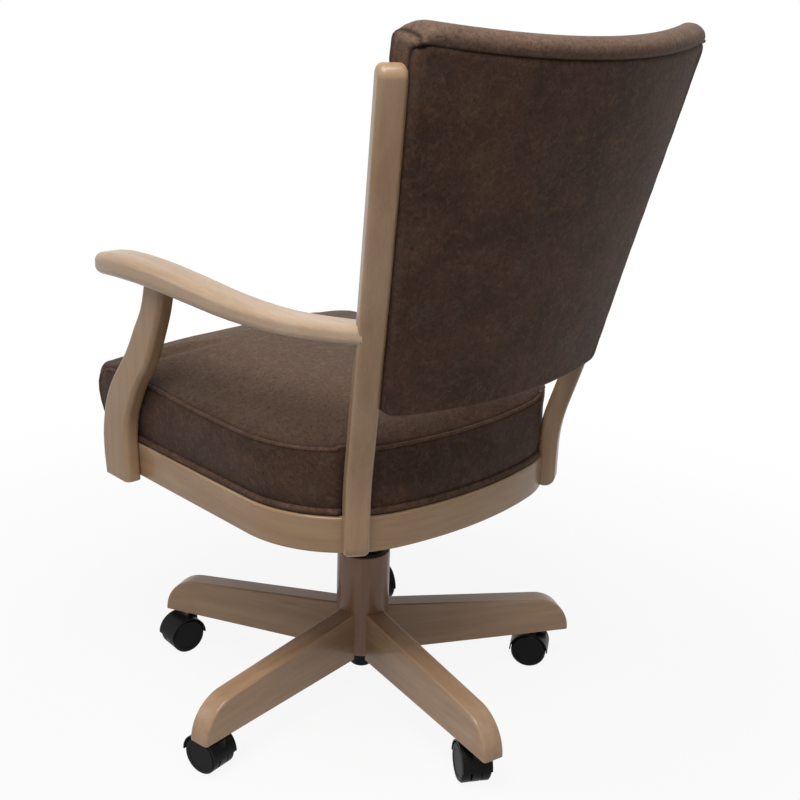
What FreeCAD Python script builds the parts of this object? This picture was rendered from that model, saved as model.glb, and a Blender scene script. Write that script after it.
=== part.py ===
import FreeCAD, Part
import math
import os

# Swivel armchair: wooden five-leg base on casters, gas lift, tilt control, bent wooden seat frame,
# upholstered seat and back, sawn wooden arms. Millimetres, +Z up, front towards -Y, sitter's left +X.
# The origin is on the floor under the column.

V = FreeCAD.Vector
os.makedirs("parts", exist_ok=True)

# Clearances
running_gap = 0.05
glue_gap = 0.05
soft_gap = 0.4
side_gap = 1.0
overshoot = 1.0

# Casters
wheel_r = 27.5
wheel_w = 14.5
wheel_round = 2.5
dish_depth = 0.6
axle_cover = 3.0
web_w = 12.4
web_gap = 0.4
hood_gap = 1.0
hood_wall = 2.0
hood_boss_r = 8.5
caster_axle_r = 3.0
web_floor = 2.0
caster_trail = 18.0
caster_rise = 9.0
stem_r = 5.5
stem_seat_rise = 9.0
stem_drop = 10.5
stem_short = 2.0
stem_chamfer = 1.0
socket_wall = 1.5
socket_depth = 38.0
caster_heading = (-80.0, 239.0, -55.0, 70.0, -4.0)

# Base
leg_count = 5
first_leg_angle = 7.6
leg_reach = 336.0
leg_w = 32.0
leg_tip_r = 57.0
leg_slope = 4.4
leg_round = 4.0
stem_circle_r = 298.0
hub_r = 39.5
hub_lift = 6.0
hub_h = 163.0
hub_round = 2.0
dowel_r = 6.0
dowel_in_hub = 10.0
dowel_in_leg = 30.0
dowel_rise = 37.0

# Gas lift
tube_r = 25.0
tube_wall = 2.0
tube_floor = 4.0
hub_floor = 12.0
cap_r = 18.0
cap_wall = 4.0
cap_drop = 31.0
cap_round = 5.0
ring_r = 36.0
ring_h = 5.0
cylinder_r = 14.0
cylinder_wall = 2.5
cylinder_rise = 75.0
gland_h = 12.0
bush_length = 70.0
bearing_r = 14.0
bearing_h = 5.0
rod_r = 5.0
rod_collar_r = 11.0
rod_collar_h = 4.0
rod_in_cylinder = 105.0
piston_h = 10.0
button_r = 4.0
button_rise = 5.0
button_length = 24.0

# Tilt control
housing_rise = 67.0
housing_half_w = 42.0
housing_front = -130.0
housing_rear = 70.0
housing_front_h = 55.0
housing_rear_h = 33.0
sheet = 3.0
socket_r = 20.0
socket_up = 40.0
socket_down = 10.0
taper_stick_out = 4.0
pivot_y = -50.0
pivot_rise = 40.0
tilt_axle_r = 6.0
bush_wall = 3.0
ear_half_w = 24.0
ear_foot_r = 15.0
plate_t = 4.0
plate_half_w = 75.0
plate_front = -128.0
plate_rear = 92.0
plate_bolt_x = 60.0
plate_bolt_front = -95.0
plate_bolt_rear = 65.0
plate_bolt_r = 3.0
bolt_head_r = 5.5
bolt_head_h = 4.0
bolt_tip_gap = 2.0
draw_y = -112.0
draw_pin_r = 4.0
draw_eye_play = 2.5
draw_eye_wall = 4.0
draw_eye_t = 12.0
draw_bolt_r = 5.0
draw_hole_play = 3.0
lug_t = 4.0
buffer_r = 18.0
buffer_bulge = 3.0
buffer_length = 36.0
knob_r = 23.0
knob_h = 26.0
knob_flutes = 10
knob_flute_r = 4.0
button_gap = 0.4
lever_pivot_x = -30.0
lever_pivot_r = 2.5
lever_w = 12.0
lever_t = 6.0
lever_inner = 7.0
lever_bend_x = -58.0
lever_low_rise = 4.0
lever_end_x = -250.0
grip_length = 56.0
grip_w = 22.0
grip_t = 12.0

# Seat frame
seat_half_w = 252.0
seat_rear = 221.0
corner_r = 162.0
rear_bow_r = 571.0
rail_t = 20.0
rail_rise = 48.5
rail_h = 49.5
rail_round = 3.5
rail_front = -240.0
seat_front = -328.0
front_corner_r = 34.0
cover_t = 3.0
board_t = 12.0
block_leg = 70.0
frame_bolt_r = 3.0
frame_bolt_head_r = 6.0
frame_bolt_head_h = 4.0
frame_bolt_rises = (11.0, 27.0)
arm_bolt_margin = 4.0
bolt_seat_gap = 0.15
bolt_access_r = 7.5

# Seat cushion: share of the height, inset and share of the front's swell at each level
cushion_welt_h = 89.0
cushion_crown = 42.0
cushion_front_bulge = 12.0
boxing_levels = ((0.0, 3.0, 0.0), (0.25, -3.2, 0.7), (0.6, -4.0, 1.0), (1.0, 1.0, 0.6))
crown_levels = ((0.33, 12.0, 0.3), (0.63, 32.0, 0.0), (0.87, 70.0, 0.0), (1.0, 125.0, 0.0))

# Rear posts
post_angle = 34.5
post_lean_yaw = 31.0
post_proud = 20.0
post_w = 33.0
post_depth = 29.0
post_bend_start_rise = 55.0
post_bend_end_rise = 125.0
post_low_slope = 16.7
post_top_slope = 12.7
post_top_rise = 590.5
post_heel_r = 15.0
post_toe_r = 12.0
post_edge = 7.5

# Arm posts: height over the rail's foot, and both edges behind the rail's front end, for each station
arm_post_t = 25.0
arm_post_edge = 8.0
arm_post_stations = [
    (-3.0, -22.0, 40.0), (25.0, -25.5, 38.0), (54.0, -26.0, 37.0), (78.0, -22.5, 39.5),
    (101.0, -16.5, 45.0), (126.0, -6.0, 57.0), (152.0, 11.0, 72.0), (180.0, 34.0, 94.0),
    (206.0, 52.0, 108.0), (235.0, 69.0, 121.0), (263.0, 86.0, 132.5), (290.0, 95.0, 140.0),
    (312.0, 100.0, 143.0)]

# Arms: offset from the frame's side, distance behind the rail's front end, top over the rail's foot,
# width, thickness, turn and edge radius of each station
arm_stations = [
    (16.0, -10.0, 318.0, 20.0, 14.0, 0.0, 5.0), (16.5, -3.0, 323.5, 36.0, 24.0, 0.0, 9.0),
    (17.0, 12.0, 328.5, 46.0, 30.5, 0.0, 11.0), (17.0, 50.0, 332.5, 50.0, 32.0, 0.0, 11.0),
    (16.0, 120.0, 332.5, 50.0, 31.5, 2.0, 11.0), (12.0, 200.0, 326.5, 48.0, 31.0, 5.0, 11.0),
    (3.0, 280.0, 316.5, 46.0, 28.5, 8.0, 11.0), (-10.0, 360.0, 311.0, 45.0, 24.5, 11.0, 9.5),
    (-26.0, 440.0, 315.0, 44.0, 23.0, 13.0, 9.0), (-37.0, 480.0, 319.5, 43.0, 23.0, 14.0, 9.0)]

# Back pad, in a frame that leans back from the lower middle of the rear panel
back_lean = 15.5
back_behind = 50.0
back_rise = 147.0
back_bow_r = 650.0
back_low_inset = 56.0
back_top_inset = 6.0
back_h = 427.0
back_t = 46.0
back_crown = 8.0
back_roll_r = 23.0
back_roll_turns = (25.0, 50.0, 70.0, 84.0)
back_low_round = 10.0
panel_t = 7.0
panel_margin = 6.0
back_board_t = 12.0
back_board_margin = 24.0
back_bolt_r = 3.5
back_bolt_head_r = 6.5
back_bolt_head_h = 4.0
back_bolt_bite = 30.0
back_bolt_rises = (274.0, 548.0)

# Values that follow from the sizes above
leg_bottom = 2 * wheel_r + caster_rise
stem_seat = wheel_r + stem_seat_rise
hub_bottom = leg_bottom + hub_lift
hub_top = hub_bottom + hub_h
dowel_z = leg_bottom + dowel_rise
cylinder_bottom = hub_bottom + cylinder_rise
rod_top = cylinder_bottom + rod_in_cylinder
housing_bottom = hub_top + housing_rise
pivot_z = housing_bottom + pivot_rise
lever_low_z = housing_bottom + lever_low_rise
rail_bottom = housing_bottom + rail_rise
rail_top = rail_bottom + rail_h
board_bottom = rail_top - board_t
plate_top = board_bottom
plate_bottom = plate_top - plate_t
corner_x = seat_half_w - corner_r
corner_y = seat_rear - rear_bow_r + math.sqrt((rear_bow_r - corner_r) ** 2 - corner_x ** 2)
tangent_angle = math.degrees(math.atan2(corner_y - seat_rear + rear_bow_r, corner_x))
post_polar = 90.0 - post_angle
tube_bottom = hub_bottom + hub_floor
tube_in_r = tube_r - tube_wall
collar_bottom = tube_bottom + tube_floor + bearing_h + 2 * running_gap
cylinder_top = housing_bottom + socket_up + taper_stick_out
half_caster = web_w / 2 + web_gap + wheel_w
lever_z = cylinder_top + button_rise + button_gap + lever_t / 2
welt_z = rail_top + cushion_welt_h
bush_r = tilt_axle_r + running_gap + bush_wall
ear_x = housing_half_w + side_gap
frame_bolt_heights = [rail_bottom + rise for rise in frame_bolt_rises]
post_foot = rail_bottom
post_bend_start = rail_bottom + post_bend_start_rise
post_bend_end = rail_bottom + post_bend_end_rise
post_top = rail_bottom + post_top_rise
back_y = seat_rear + back_behind
back_z = rail_top + back_rise
back_low_half_w = seat_half_w - back_low_inset
back_top_half_w = seat_half_w - back_top_inset
back_bolt_heights = [rail_bottom + rise for rise in back_bolt_rises]


def cylinder(radius, low, high, x=0.0, y=0.0):
    return Part.makeCylinder(radius, high - low, V(x, y, low))


def ring(outer, inner, low, high, x=0.0, y=0.0):
    return cylinder(outer, low, high, x, y).cut(cylinder(inner, low, high, x, y))


def rod_x(radius, start, end, y, z):
    return Part.makeCylinder(radius, end - start, V(start, y, z), V(1, 0, 0))


def rod_y(radius, start, end, x, z):
    return Part.makeCylinder(radius, end - start, V(x, start, z), V(0, 1, 0))


def block(x0, x1, y0, y1, z0, z1):
    return Part.makeBox(x1 - x0, y1 - y0, z1 - z0, V(x0, y0, z0))


def prism(edges, travel):
    return Part.Face(Part.Wire(Part.__sortEdges__(edges))).extrude(travel)


def polygon(points, travel):
    return Part.Face(Part.makePolygon(points + points[:1])).extrude(travel)


def arc(first, middle, last):
    return Part.Arc(first, middle, last).toShape()


def line(first, last):
    return Part.makeLine(first, last)


def spline(points):
    curve = Part.BSplineCurve()
    curve.interpolate(points)
    return curve.toShape()


def turned(shape, degrees):
    copy = shape.copy()
    copy.rotate(V(0, 0, 0), V(0, 0, 1), degrees)
    return copy


def moved(shape, x, y, z=0.0):
    copy = shape.copy()
    copy.translate(V(x, y, z))
    return copy


def mirrored(shape):
    return shape.mirror(V(0, 0, 0), V(1, 0, 0))


def spun(profile, y=0.0):
    points = [V(radius, y, z) for radius, z in profile]
    return Part.Face(Part.makePolygon(points + points[:1])).revolve(V(0, y, 0), V(0, 0, 1), 360)


def round_profile(radius, z, reach, first, last, steps=3):
    turns = [math.radians(first + (last - first) * step / steps) for step in range(steps + 1)]
    return [(radius + reach * math.cos(turn), z + reach * math.sin(turn)) for turn in turns]


def one_solid(shape):
    return shape.removeSplitter().Solids[0]


def rounded(shape, radius, choose):
    return shape.makeFillet(radius, [edge for edge in shape.Edges if choose(edge)])


def save(name, *shapes):
    solids = [solid for shape in shapes for solid in shape.Solids]
    whole = solids[0] if len(solids) == 1 else Part.makeCompound(solids)
    whole.exportStep("parts/" + name + ".step")


# Base: hub, legs, dowels and caster sockets
def leg_angle(index):
    return first_leg_angle + index * 360.0 / leg_count


def leg_blank():
    slope = math.radians(leg_slope)
    inner = hub_r - dowel_in_hub
    bow_x = leg_reach - leg_tip_r
    bow_mid = math.radians((90.0 - leg_slope) / 2)
    half = leg_w / 2
    tip = V(leg_reach, -half, leg_bottom)
    middle = V(bow_x + leg_tip_r * math.cos(bow_mid), -half,
               leg_bottom + leg_tip_r * math.sin(bow_mid))
    crest = V(bow_x + leg_tip_r * math.sin(slope), -half,
              leg_bottom + leg_tip_r * math.cos(slope))
    top = V(inner, -half, crest.z + (crest.x - inner) * math.tan(slope))
    foot = V(inner, -half, leg_bottom)
    sides = [line(foot, tip), arc(tip, middle, crest), line(crest, top), line(top, foot)]
    blank = prism(sides, V(0, leg_w, 0))
    return rounded(blank, leg_round, lambda edge: edge.CenterOfMass.x > inner + overshoot
                   and edge.CenterOfMass.z > leg_bottom + overshoot)


def leg_dowel():
    start = hub_r - dowel_in_hub
    return Part.makeCylinder(dowel_r, dowel_in_hub + dowel_in_leg, V(start, 0, dowel_z), V(1, 0, 0))


def caster_socket():
    outer = stem_r + running_gap + socket_wall
    return ring(outer, stem_r + running_gap, leg_bottom, leg_bottom + socket_depth, stem_circle_r)


def base_leg():
    leg = leg_blank().cut(cylinder(hub_r + glue_gap, 0, hub_top))
    leg = leg.cut(cylinder(stem_r + running_gap + socket_wall, 0, leg_bottom + socket_depth, stem_circle_r))
    return leg.cut(leg_dowel()).Solids[0]


def base_hub():
    low_edge = round_profile(hub_r - hub_round, hub_bottom + hub_round, hub_round, -90, 0)
    top_edge = round_profile(hub_r - hub_round, hub_top - hub_round, hub_round, 0, 90)
    hub = spun([(0, hub_bottom)] + low_edge + top_edge + [(0, hub_top)])
    hub = hub.cut(cylinder(tube_r, tube_bottom, hub_top))
    hub = hub.cut(cylinder(cap_r, hub_bottom, tube_bottom))
    for index in range(leg_count):
        hub = hub.cut(turned(leg_dowel(), leg_angle(index)))
    return hub.Solids[0]


def hub_top_ring():
    lip = ring_h / 2
    hole = cylinder_r + side_gap / 2
    edge = round_profile(ring_r - lip, hub_top + lip, lip, 0, 90)
    return spun([(hole, hub_top), (ring_r, hub_top)] + edge + [(hole, hub_top + ring_h)])


def hub_bottom_cap():
    low = hub_bottom - cap_drop
    hole = cap_r - cap_wall
    edge = round_profile(cap_r - cap_round, low + cap_round, cap_round, -90, 0)
    return spun([(0, low)] + edge + [(cap_r, tube_bottom), (hole, tube_bottom),
                                     (hole, low + cap_wall), (0, low + cap_wall)])


def build_base():
    save("base_hub", base_hub())
    leg = base_leg()
    dowels = []
    sockets = []
    for index in range(leg_count):
        angle = leg_angle(index)
        save("base_leg_%d" % (index + 1), turned(leg, angle))
        dowels.append(turned(leg_dowel(), angle))
        sockets.append(turned(caster_socket(), angle))
    save("leg_dowels", *dowels)
    save("caster_sockets", *sockets)
    save("hub_top_ring", hub_top_ring())
    save("hub_bottom_cap", hub_bottom_cap())


# Casters, made with the stem on the origin and the wheels along +X
def wheel():
    inner = web_w / 2 + web_gap
    face = inner + wheel_w
    rim = wheel_r - wheel_round
    dish = wheel_r - 3 * wheel_round
    end = face - axle_cover
    outline = [(caster_axle_r, inner), (rim, inner), (wheel_r, inner + wheel_round),
               (wheel_r, face - wheel_round), (rim, face), (dish, face),
               (dish - dish_depth, face - dish_depth), (0, face - dish_depth), (0, end), (caster_axle_r, end)]
    points = [V(caster_trail, y, wheel_r + radius) for radius, y in outline]
    section = Part.Face(Part.makePolygon(points + points[:1]))
    return section.revolve(V(caster_trail, 0, wheel_r), V(0, 1, 0), 360)


def caster_wheels():
    near = wheel()
    far = near.mirror(V(0, 0, 0), V(0, 1, 0))
    reach = half_caster - axle_cover
    return [near, far, rod_y(caster_axle_r, -reach, reach, caster_trail, wheel_r)]


def caster_hood():
    outer_r = wheel_r + hood_gap + hood_wall
    boss_top = leg_bottom - stem_drop
    shell = rod_y(outer_r, -half_caster, half_caster, caster_trail, wheel_r)
    shell = shell.fuse(cylinder(hood_boss_r, wheel_r, boss_top))
    shell = shell.common(block(-2 * outer_r, 2 * outer_r, -outer_r, outer_r, wheel_r, leg_bottom))
    for side in (-1, 1):
        edges = sorted((side * web_w / 2, side * (half_caster + overshoot)))
        shell = shell.cut(rod_y(wheel_r + hood_gap, edges[0], edges[1], caster_trail, wheel_r))
    web = rod_y(wheel_r, -web_w / 2, web_w / 2, caster_trail, wheel_r)
    web = web.common(block(-outer_r, 2 * outer_r, -outer_r, outer_r, web_floor, leg_bottom))
    hood = one_solid(shell.fuse(web))
    hood = hood.cut(rod_y(caster_axle_r + running_gap, -half_caster, half_caster, caster_trail, wheel_r))
    return hood.cut(cylinder(stem_r, stem_seat, leg_bottom)).Solids[0]


def caster_stem():
    stem = cylinder(stem_r, stem_seat, leg_bottom + socket_depth - stem_short)
    top = [edge for edge in stem.Edges if edge.BoundBox.ZMin > leg_bottom and edge.Closed]
    return stem.makeChamfer(stem_chamfer, top)


def build_casters():
    pieces = {"hood": [caster_hood()], "stem": [caster_stem()], "wheels": caster_wheels()}
    for index in range(leg_count):
        angle = math.radians(leg_angle(index))
        x = stem_circle_r * math.cos(angle)
        y = stem_circle_r * math.sin(angle)
        for kind, shapes in pieces.items():
            placed = [moved(turned(shape, caster_heading[index]), x, y) for shape in shapes]
            save("caster_%d_%s" % (index + 1, kind), *placed)


# Gas lift: the tube stays in the hub, the rod swivels on a thrust bearing, the cylinder slides on the rod
def build_lift():
    floor_top = tube_bottom + tube_floor
    tube = ring(tube_r, tube_in_r, floor_top, hub_top)
    tube = tube.fuse(ring(tube_r, rod_r + running_gap, tube_bottom, floor_top))
    save("lift_outer_tube", one_solid(tube))
    save("lift_guide_bush", ring(tube_in_r, cylinder_r + running_gap, hub_top - bush_length, hub_top))
    save("thrust_bearing", ring(bearing_r, rod_r + 4 * running_gap, floor_top, floor_top + bearing_h))
    rod = cylinder(rod_r, hub_bottom, rod_top)
    rod = rod.fuse(cylinder(rod_collar_r, collar_bottom, collar_bottom + rod_collar_h))
    rod = rod.fuse(cylinder(cylinder_r - cylinder_wall - running_gap, rod_top - piston_h, rod_top))
    save("lift_rod", one_solid(rod))
    body = cylinder(cylinder_r, cylinder_bottom, cylinder_top)
    button_low = cylinder_top + button_rise - button_length
    room_top = button_low - gland_h / 2
    body = body.cut(cylinder(cylinder_r - cylinder_wall, cylinder_bottom + gland_h, room_top))
    body = body.cut(cylinder(rod_r + running_gap, cylinder_bottom, cylinder_bottom + gland_h))
    body = body.cut(cylinder(button_r + running_gap, room_top, cylinder_top))
    save("lift_cylinder", body)
    save("release_button", cylinder(button_r, button_low, cylinder_top + button_rise))


# Tilt control: a sheet housing on the lift, and a seat plate that turns on its axle
def tilt_housing():
    top_front = housing_bottom + housing_front_h
    top_rear = housing_bottom + housing_rear_h
    profile = [(housing_front, housing_bottom), (housing_rear, housing_bottom), (housing_rear, top_rear),
               (pivot_y + ear_half_w, top_front), (housing_front, top_front)]
    outline = [V(-housing_half_w, y, z) for y, z in profile]
    shell = polygon(outline, V(2 * housing_half_w, 0, 0))
    inner = housing_half_w - sheet
    room = block(-inner, inner, housing_front + sheet, housing_rear - sheet,
                 housing_bottom + sheet, top_front + sheet)
    shell = shell.cut(room)
    shell = shell.fuse(cylinder(socket_r, housing_bottom - socket_down, housing_bottom + socket_up))
    shell = shell.cut(cylinder(cylinder_r, housing_bottom - socket_down, housing_bottom + socket_up))
    shell = shell.cut(rod_x(tilt_axle_r, -housing_half_w, housing_half_w, pivot_y, pivot_z))
    bolt_way = cylinder(draw_bolt_r + draw_hole_play, housing_bottom, housing_bottom + sheet, 0, draw_y)
    shell = shell.cut(bolt_way)
    for side in (-1, 1):
        shell = shell.fuse(lever_bracket(side))
    notch = lever_w / 2 + side_gap
    shell = shell.cut(block(-housing_half_w, -inner, -notch, notch, lever_z - lever_t, top_front))
    return one_solid(shell)


def lever_bracket(side):
    inner = lever_w / 2 + side_gap / 2
    near, far = sorted((side * inner, side * (inner + sheet)))
    top = lever_z + lever_pivot_r + sheet
    half = 2 * lever_pivot_r
    ear = block(lever_pivot_x - half, lever_pivot_x + half, near, far, housing_bottom, top)
    return ear.cut(rod_y(lever_pivot_r + running_gap, near, far, lever_pivot_x, lever_z))


def seat_plate():
    plate = block(-plate_half_w, plate_half_w, plate_front, plate_rear, plate_bottom, plate_top)
    for side in (-1, 1):
        near, far = sorted((side * ear_x, side * (ear_x + sheet)))
        sides = [V(near, pivot_y - ear_half_w, plate_bottom), V(near, pivot_y - ear_foot_r, pivot_z),
                 V(near, pivot_y + ear_foot_r, pivot_z), V(near, pivot_y + ear_half_w, plate_bottom)]
        ear = polygon(sides, V(far - near, 0, 0)).fuse(rod_x(ear_foot_r, near, far, pivot_y, pivot_z))
        plate = plate.fuse(ear).cut(rod_x(bush_r, near, far, pivot_y, pivot_z))
        plate = plate.fuse(draw_lug(side))
    for x in (-plate_bolt_x, plate_bolt_x):
        for y in (plate_bolt_front, plate_bolt_rear):
            plate = plate.cut(cylinder(plate_bolt_r, plate_bottom, plate_top, x, y))
    return one_solid(plate)


def draw_lug(side):
    start = draw_eye_t / 2 + side_gap
    near, far = sorted((side * start, side * (start + lug_t)))
    reach = draw_pin_r + draw_eye_wall
    lug = block(near, far, draw_y - reach, draw_y + reach, pivot_z, plate_bottom)
    lug = lug.fuse(rod_x(reach, near, far, draw_y, pivot_z))
    return lug.cut(rod_x(draw_pin_r, near, far, draw_y, pivot_z))


def draw_bolt():
    hole_r = draw_pin_r + draw_eye_play
    half = draw_eye_t / 2
    low = housing_bottom - buffer_length - knob_h + sheet
    eye = rod_x(hole_r + draw_eye_wall, -half, half, draw_y, pivot_z)
    bolt = eye.fuse(cylinder(draw_bolt_r, low, pivot_z - hole_r, 0, draw_y))
    return one_solid(bolt.cut(rod_x(hole_r, -half, half, draw_y, pivot_z)))


def tension_knob():
    top = housing_bottom - buffer_length - soft_gap
    knob = cylinder(knob_r, top - knob_h, top, 0, draw_y)
    for index in range(knob_flutes):
        angle = math.radians(index * 360.0 / knob_flutes)
        x = knob_r * math.cos(angle)
        y = draw_y + knob_r * math.sin(angle)
        knob = knob.cut(cylinder(knob_flute_r, top - knob_h, top, x, y))
    return knob.cut(cylinder(draw_bolt_r + running_gap, top - knob_h + sheet, top, 0, draw_y))


def tilt_buffer():
    low = housing_bottom - buffer_length
    bore = draw_bolt_r + draw_hole_play / 2
    barrel = []
    for step in range(7):
        swell = 1 - (step / 3.0 - 1) ** 2
        barrel.append((buffer_r - buffer_bulge + buffer_bulge * swell, low + buffer_length * step / 6.0))
    return spun([(bore, low)] + barrel + [(bore, housing_bottom)], draw_y)


def lift_lever():
    half = lever_w / 2
    top = lever_z + lever_t / 2
    low = lever_low_z + lever_t / 2
    knee = lever_bend_x - lever_t
    profile = [(lever_inner, top), (knee, top), (knee, low), (lever_end_x, low), (lever_end_x, low - lever_t),
               (lever_bend_x, low - lever_t), (lever_bend_x, top - lever_t), (lever_inner, top - lever_t)]
    drop = [V(x, -half, z) for x, z in profile]
    bar = polygon(drop, V(0, lever_w, 0))
    reach = half + side_gap / 2 + sheet
    return one_solid(bar.fuse(rod_y(lever_pivot_r, -reach, reach, lever_pivot_x, lever_z)))


def lever_grip():
    start = lever_end_x - sheet
    grip = block(start, start + grip_length, -grip_w / 2, grip_w / 2,
                 lever_low_z - grip_t / 2, lever_low_z + grip_t / 2)
    grip = rounded(grip, grip_t / 3, lambda edge: True)
    slot = block(lever_end_x, start + grip_length, -lever_w / 2, lever_w / 2,
                 lever_low_z - lever_t / 2, lever_low_z + lever_t / 2)
    return grip.cut(slot)


def plate_bolts():
    bolts = []
    for x in (-plate_bolt_x, plate_bolt_x):
        for y in (plate_bolt_front, plate_bolt_rear):
            shank = cylinder(plate_bolt_r, plate_bottom, rail_top - bolt_tip_gap, x, y)
            head = cylinder(bolt_head_r, plate_bottom - bolt_head_h, plate_bottom, x, y)
            bolts.append(one_solid(shank.fuse(head)))
    return bolts


def build_tilt_control():
    save("tilt_housing", tilt_housing())
    reach = ear_x + sheet + side_gap
    save("tilt_axle", rod_x(tilt_axle_r, -reach, reach, pivot_y, pivot_z))
    bush = rod_x(bush_r, ear_x, ear_x + sheet, pivot_y, pivot_z)
    bush = bush.cut(rod_x(tilt_axle_r + running_gap, ear_x, ear_x + sheet, pivot_y, pivot_z))
    save("tilt_bushes", bush, mirrored(bush))
    save("seat_plate", seat_plate())
    save("seat_plate_bolts", *plate_bolts())
    pin_reach = draw_eye_t / 2 + side_gap + lug_t
    save("draw_pin", rod_x(draw_pin_r, -pin_reach, pin_reach, draw_y, pivot_z))
    save("draw_bolt", draw_bolt())
    save("tension_knob", tension_knob())
    save("tilt_buffer", tilt_buffer())
    save("lift_lever", lift_lever())
    save("lever_grip", lever_grip())


# Seat frame: strips that follow the bent outline
def corner_point(inset, degrees, z, side=1):
    radius = corner_r - inset
    angle = math.radians(degrees)
    return V(side * (corner_x + radius * math.cos(angle)), corner_y + radius * math.sin(angle), z)


def corner_arc(inset, start, end, z, side=1):
    middle = (start + end) / 2
    return arc(corner_point(inset, start, z, side), corner_point(inset, middle, z, side),
               corner_point(inset, end, z, side))


def rear_arc(inset, z):
    return arc(corner_point(inset, tangent_angle, z), V(0, seat_rear - inset, z),
               corner_point(inset, tangent_angle, z, -1))


def side_rail():
    z = rail_bottom
    outer = [line(V(seat_half_w, rail_front, z), corner_point(0, 0, z)), corner_arc(0, 0, post_polar, z)]
    inner = [line(V(seat_half_w - rail_t, rail_front, z), corner_point(rail_t, 0, z)),
             corner_arc(rail_t, 0, post_polar, z)]
    ends = [line(V(seat_half_w, rail_front, z), V(seat_half_w - rail_t, rail_front, z)),
            line(corner_point(0, post_polar, z), corner_point(rail_t, post_polar, z))]
    rail = prism(outer + inner + ends, V(0, 0, rail_h))
    return rounded(rail, rail_round, lambda edge: edge.BoundBox.ZLength < 0.1 and on_outline(edge))


def on_outline(edge):
    point = edge.valueAt((edge.FirstParameter + edge.LastParameter) / 2)
    reach = math.hypot(abs(point.x) - corner_x, point.y - corner_y)
    on_side = point.y < corner_y and abs(abs(point.x) - seat_half_w) < 0.1
    on_bow = abs(math.hypot(point.x, point.y - seat_rear + rear_bow_r) - rear_bow_r) < 0.1
    return on_side or on_bow or (point.y > corner_y and abs(reach - corner_r) < 0.1)


def rear_rail():
    z = rail_bottom
    joint = post_polar + math.degrees(glue_gap / corner_r)
    edges = []
    for inset in (0, rail_t):
        edges.append(rear_arc(inset, z))
        for side in (-1, 1):
            edges.append(corner_arc(inset, joint, tangent_angle, z, side))
    for side in (-1, 1):
        edges.append(line(corner_point(0, joint, z, side), corner_point(rail_t, joint, z, side)))
    rail = prism(edges, V(0, 0, rail_h))
    return rounded(rail, rail_round, lambda edge: edge.BoundBox.ZLength < 0.1 and on_outline(edge))


def front_corner(inset, z, side):
    half = seat_half_w - inset
    front = seat_front + inset
    radius = front_corner_r - inset
    diagonal = radius * (1 - math.sqrt(0.5))
    return arc(V(side * half, front + radius, z), V(side * (half - diagonal), front + diagonal, z),
               V(side * (half - radius), front, z))


def front_strip(outer, inner, low, high, back):
    edges = []
    for inset in (outer, inner):
        half = seat_half_w - inset
        front = seat_front + inset
        turn = seat_front + front_corner_r
        edges.append(line(V(inset - seat_half_w + front_corner_r - inset, front, low),
                          V(half - front_corner_r + inset, front, low)))
        for side in (-1, 1):
            edges.append(front_corner(inset, low, side))
            edges.append(line(V(side * half, turn, low), V(side * half, back, low)))
    for side in (-1, 1):
        edges.append(line(V(side * (seat_half_w - outer), back, low),
                          V(side * (seat_half_w - inner), back, low)))
    return prism(edges, V(0, 0, high - low))


def closed_outline(inset, front, front_r, z):
    half = seat_half_w - inset
    diagonal = front_r * (1 - math.sqrt(0.5))
    edges = [line(V(half, front + front_r, z), corner_point(inset, 0, z)),
             corner_arc(inset, 0, tangent_angle, z), rear_arc(inset, z),
             corner_arc(inset, tangent_angle, 0, z, -1),
             line(corner_point(inset, 0, z, -1), V(-half, front + front_r, z)),
             arc(V(-half, front + front_r, z), V(diagonal - half, front + diagonal, z),
                 V(front_r - half, front, z)),
             line(V(front_r - half, front, z), V(half - front_r, front, z)),
             arc(V(half - front_r, front, z), V(half - diagonal, front + diagonal, z),
                 V(half, front + front_r, z))]
    return Part.Wire(edges)


def seat_board():
    inset = rail_t + soft_gap / 2
    outline = closed_outline(inset, seat_front + inset, front_corner_r - inset, board_bottom)
    board = Part.Face(outline).extrude(V(0, 0, board_t))
    for bolt in plate_bolts():
        board = board.cut(bolt)
    return board


def corner_blocks():
    inset = rail_t + soft_gap / 2
    outline = closed_outline(inset, seat_front + inset, front_corner_r - inset, rail_bottom)
    inside = Part.Face(outline).extrude(V(0, 0, rail_h - board_t))
    half = seat_half_w - inset
    front = seat_front + inset
    rear = corner_point(inset, 45.0, 0)
    face = block_leg * math.sqrt(0.5)
    shapes = []
    for side in (-1, 1):
        corner = [V(side * half, front, rail_bottom), V(side * half, front + block_leg, rail_bottom),
                  V(side * (half - block_leg), front, rail_bottom)]
        shapes.append(polygon(corner, V(0, 0, rail_h - board_t)))
        tri = [V(side * (rear.x - face), rear.y + face / 3, rail_bottom),
               V(side * (rear.x + face / 3), rear.y - face, rail_bottom),
               V(side * (rear.x + face), rear.y + face, rail_bottom)]
        shapes.append(polygon(tri, V(0, 0, rail_h - board_t)))
    blocks = [shape.common(inside) for shape in shapes]
    for side in (-1, 1):
        for height in frame_bolt_heights:
            way = radial_rod(bolt_access_r, block_leg, rail_t, height, side)
            blocks = [piece.cut(way) for piece in blocks]
    return blocks


def frame_bolts():
    bolts = []
    for side in (-1, 1):
        for height in frame_bolt_heights:
            start = seat_half_w - rail_t
            shank = rod_x(frame_bolt_r, start, seat_half_w + arm_post_t / 2, arm_post_bolt_y(), height)
            head = rod_x(frame_bolt_head_r, start - frame_bolt_head_h, start, arm_post_bolt_y(), height)
            bolt = one_solid(shank.fuse(head))
            bolts.append(bolt if side > 0 else mirrored(bolt))
            bolts.append(radial_bolt(height, side))
    return bolts


def radial_rod(radius, inner_inset, outer_inset, height, side):
    inner = corner_point(inner_inset, post_polar, height)
    reach = corner_point(outer_inset, post_polar, height) - inner
    rod = Part.makeCylinder(radius, reach.Length, inner, reach)
    return rod if side > 0 else mirrored(rod)


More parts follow.
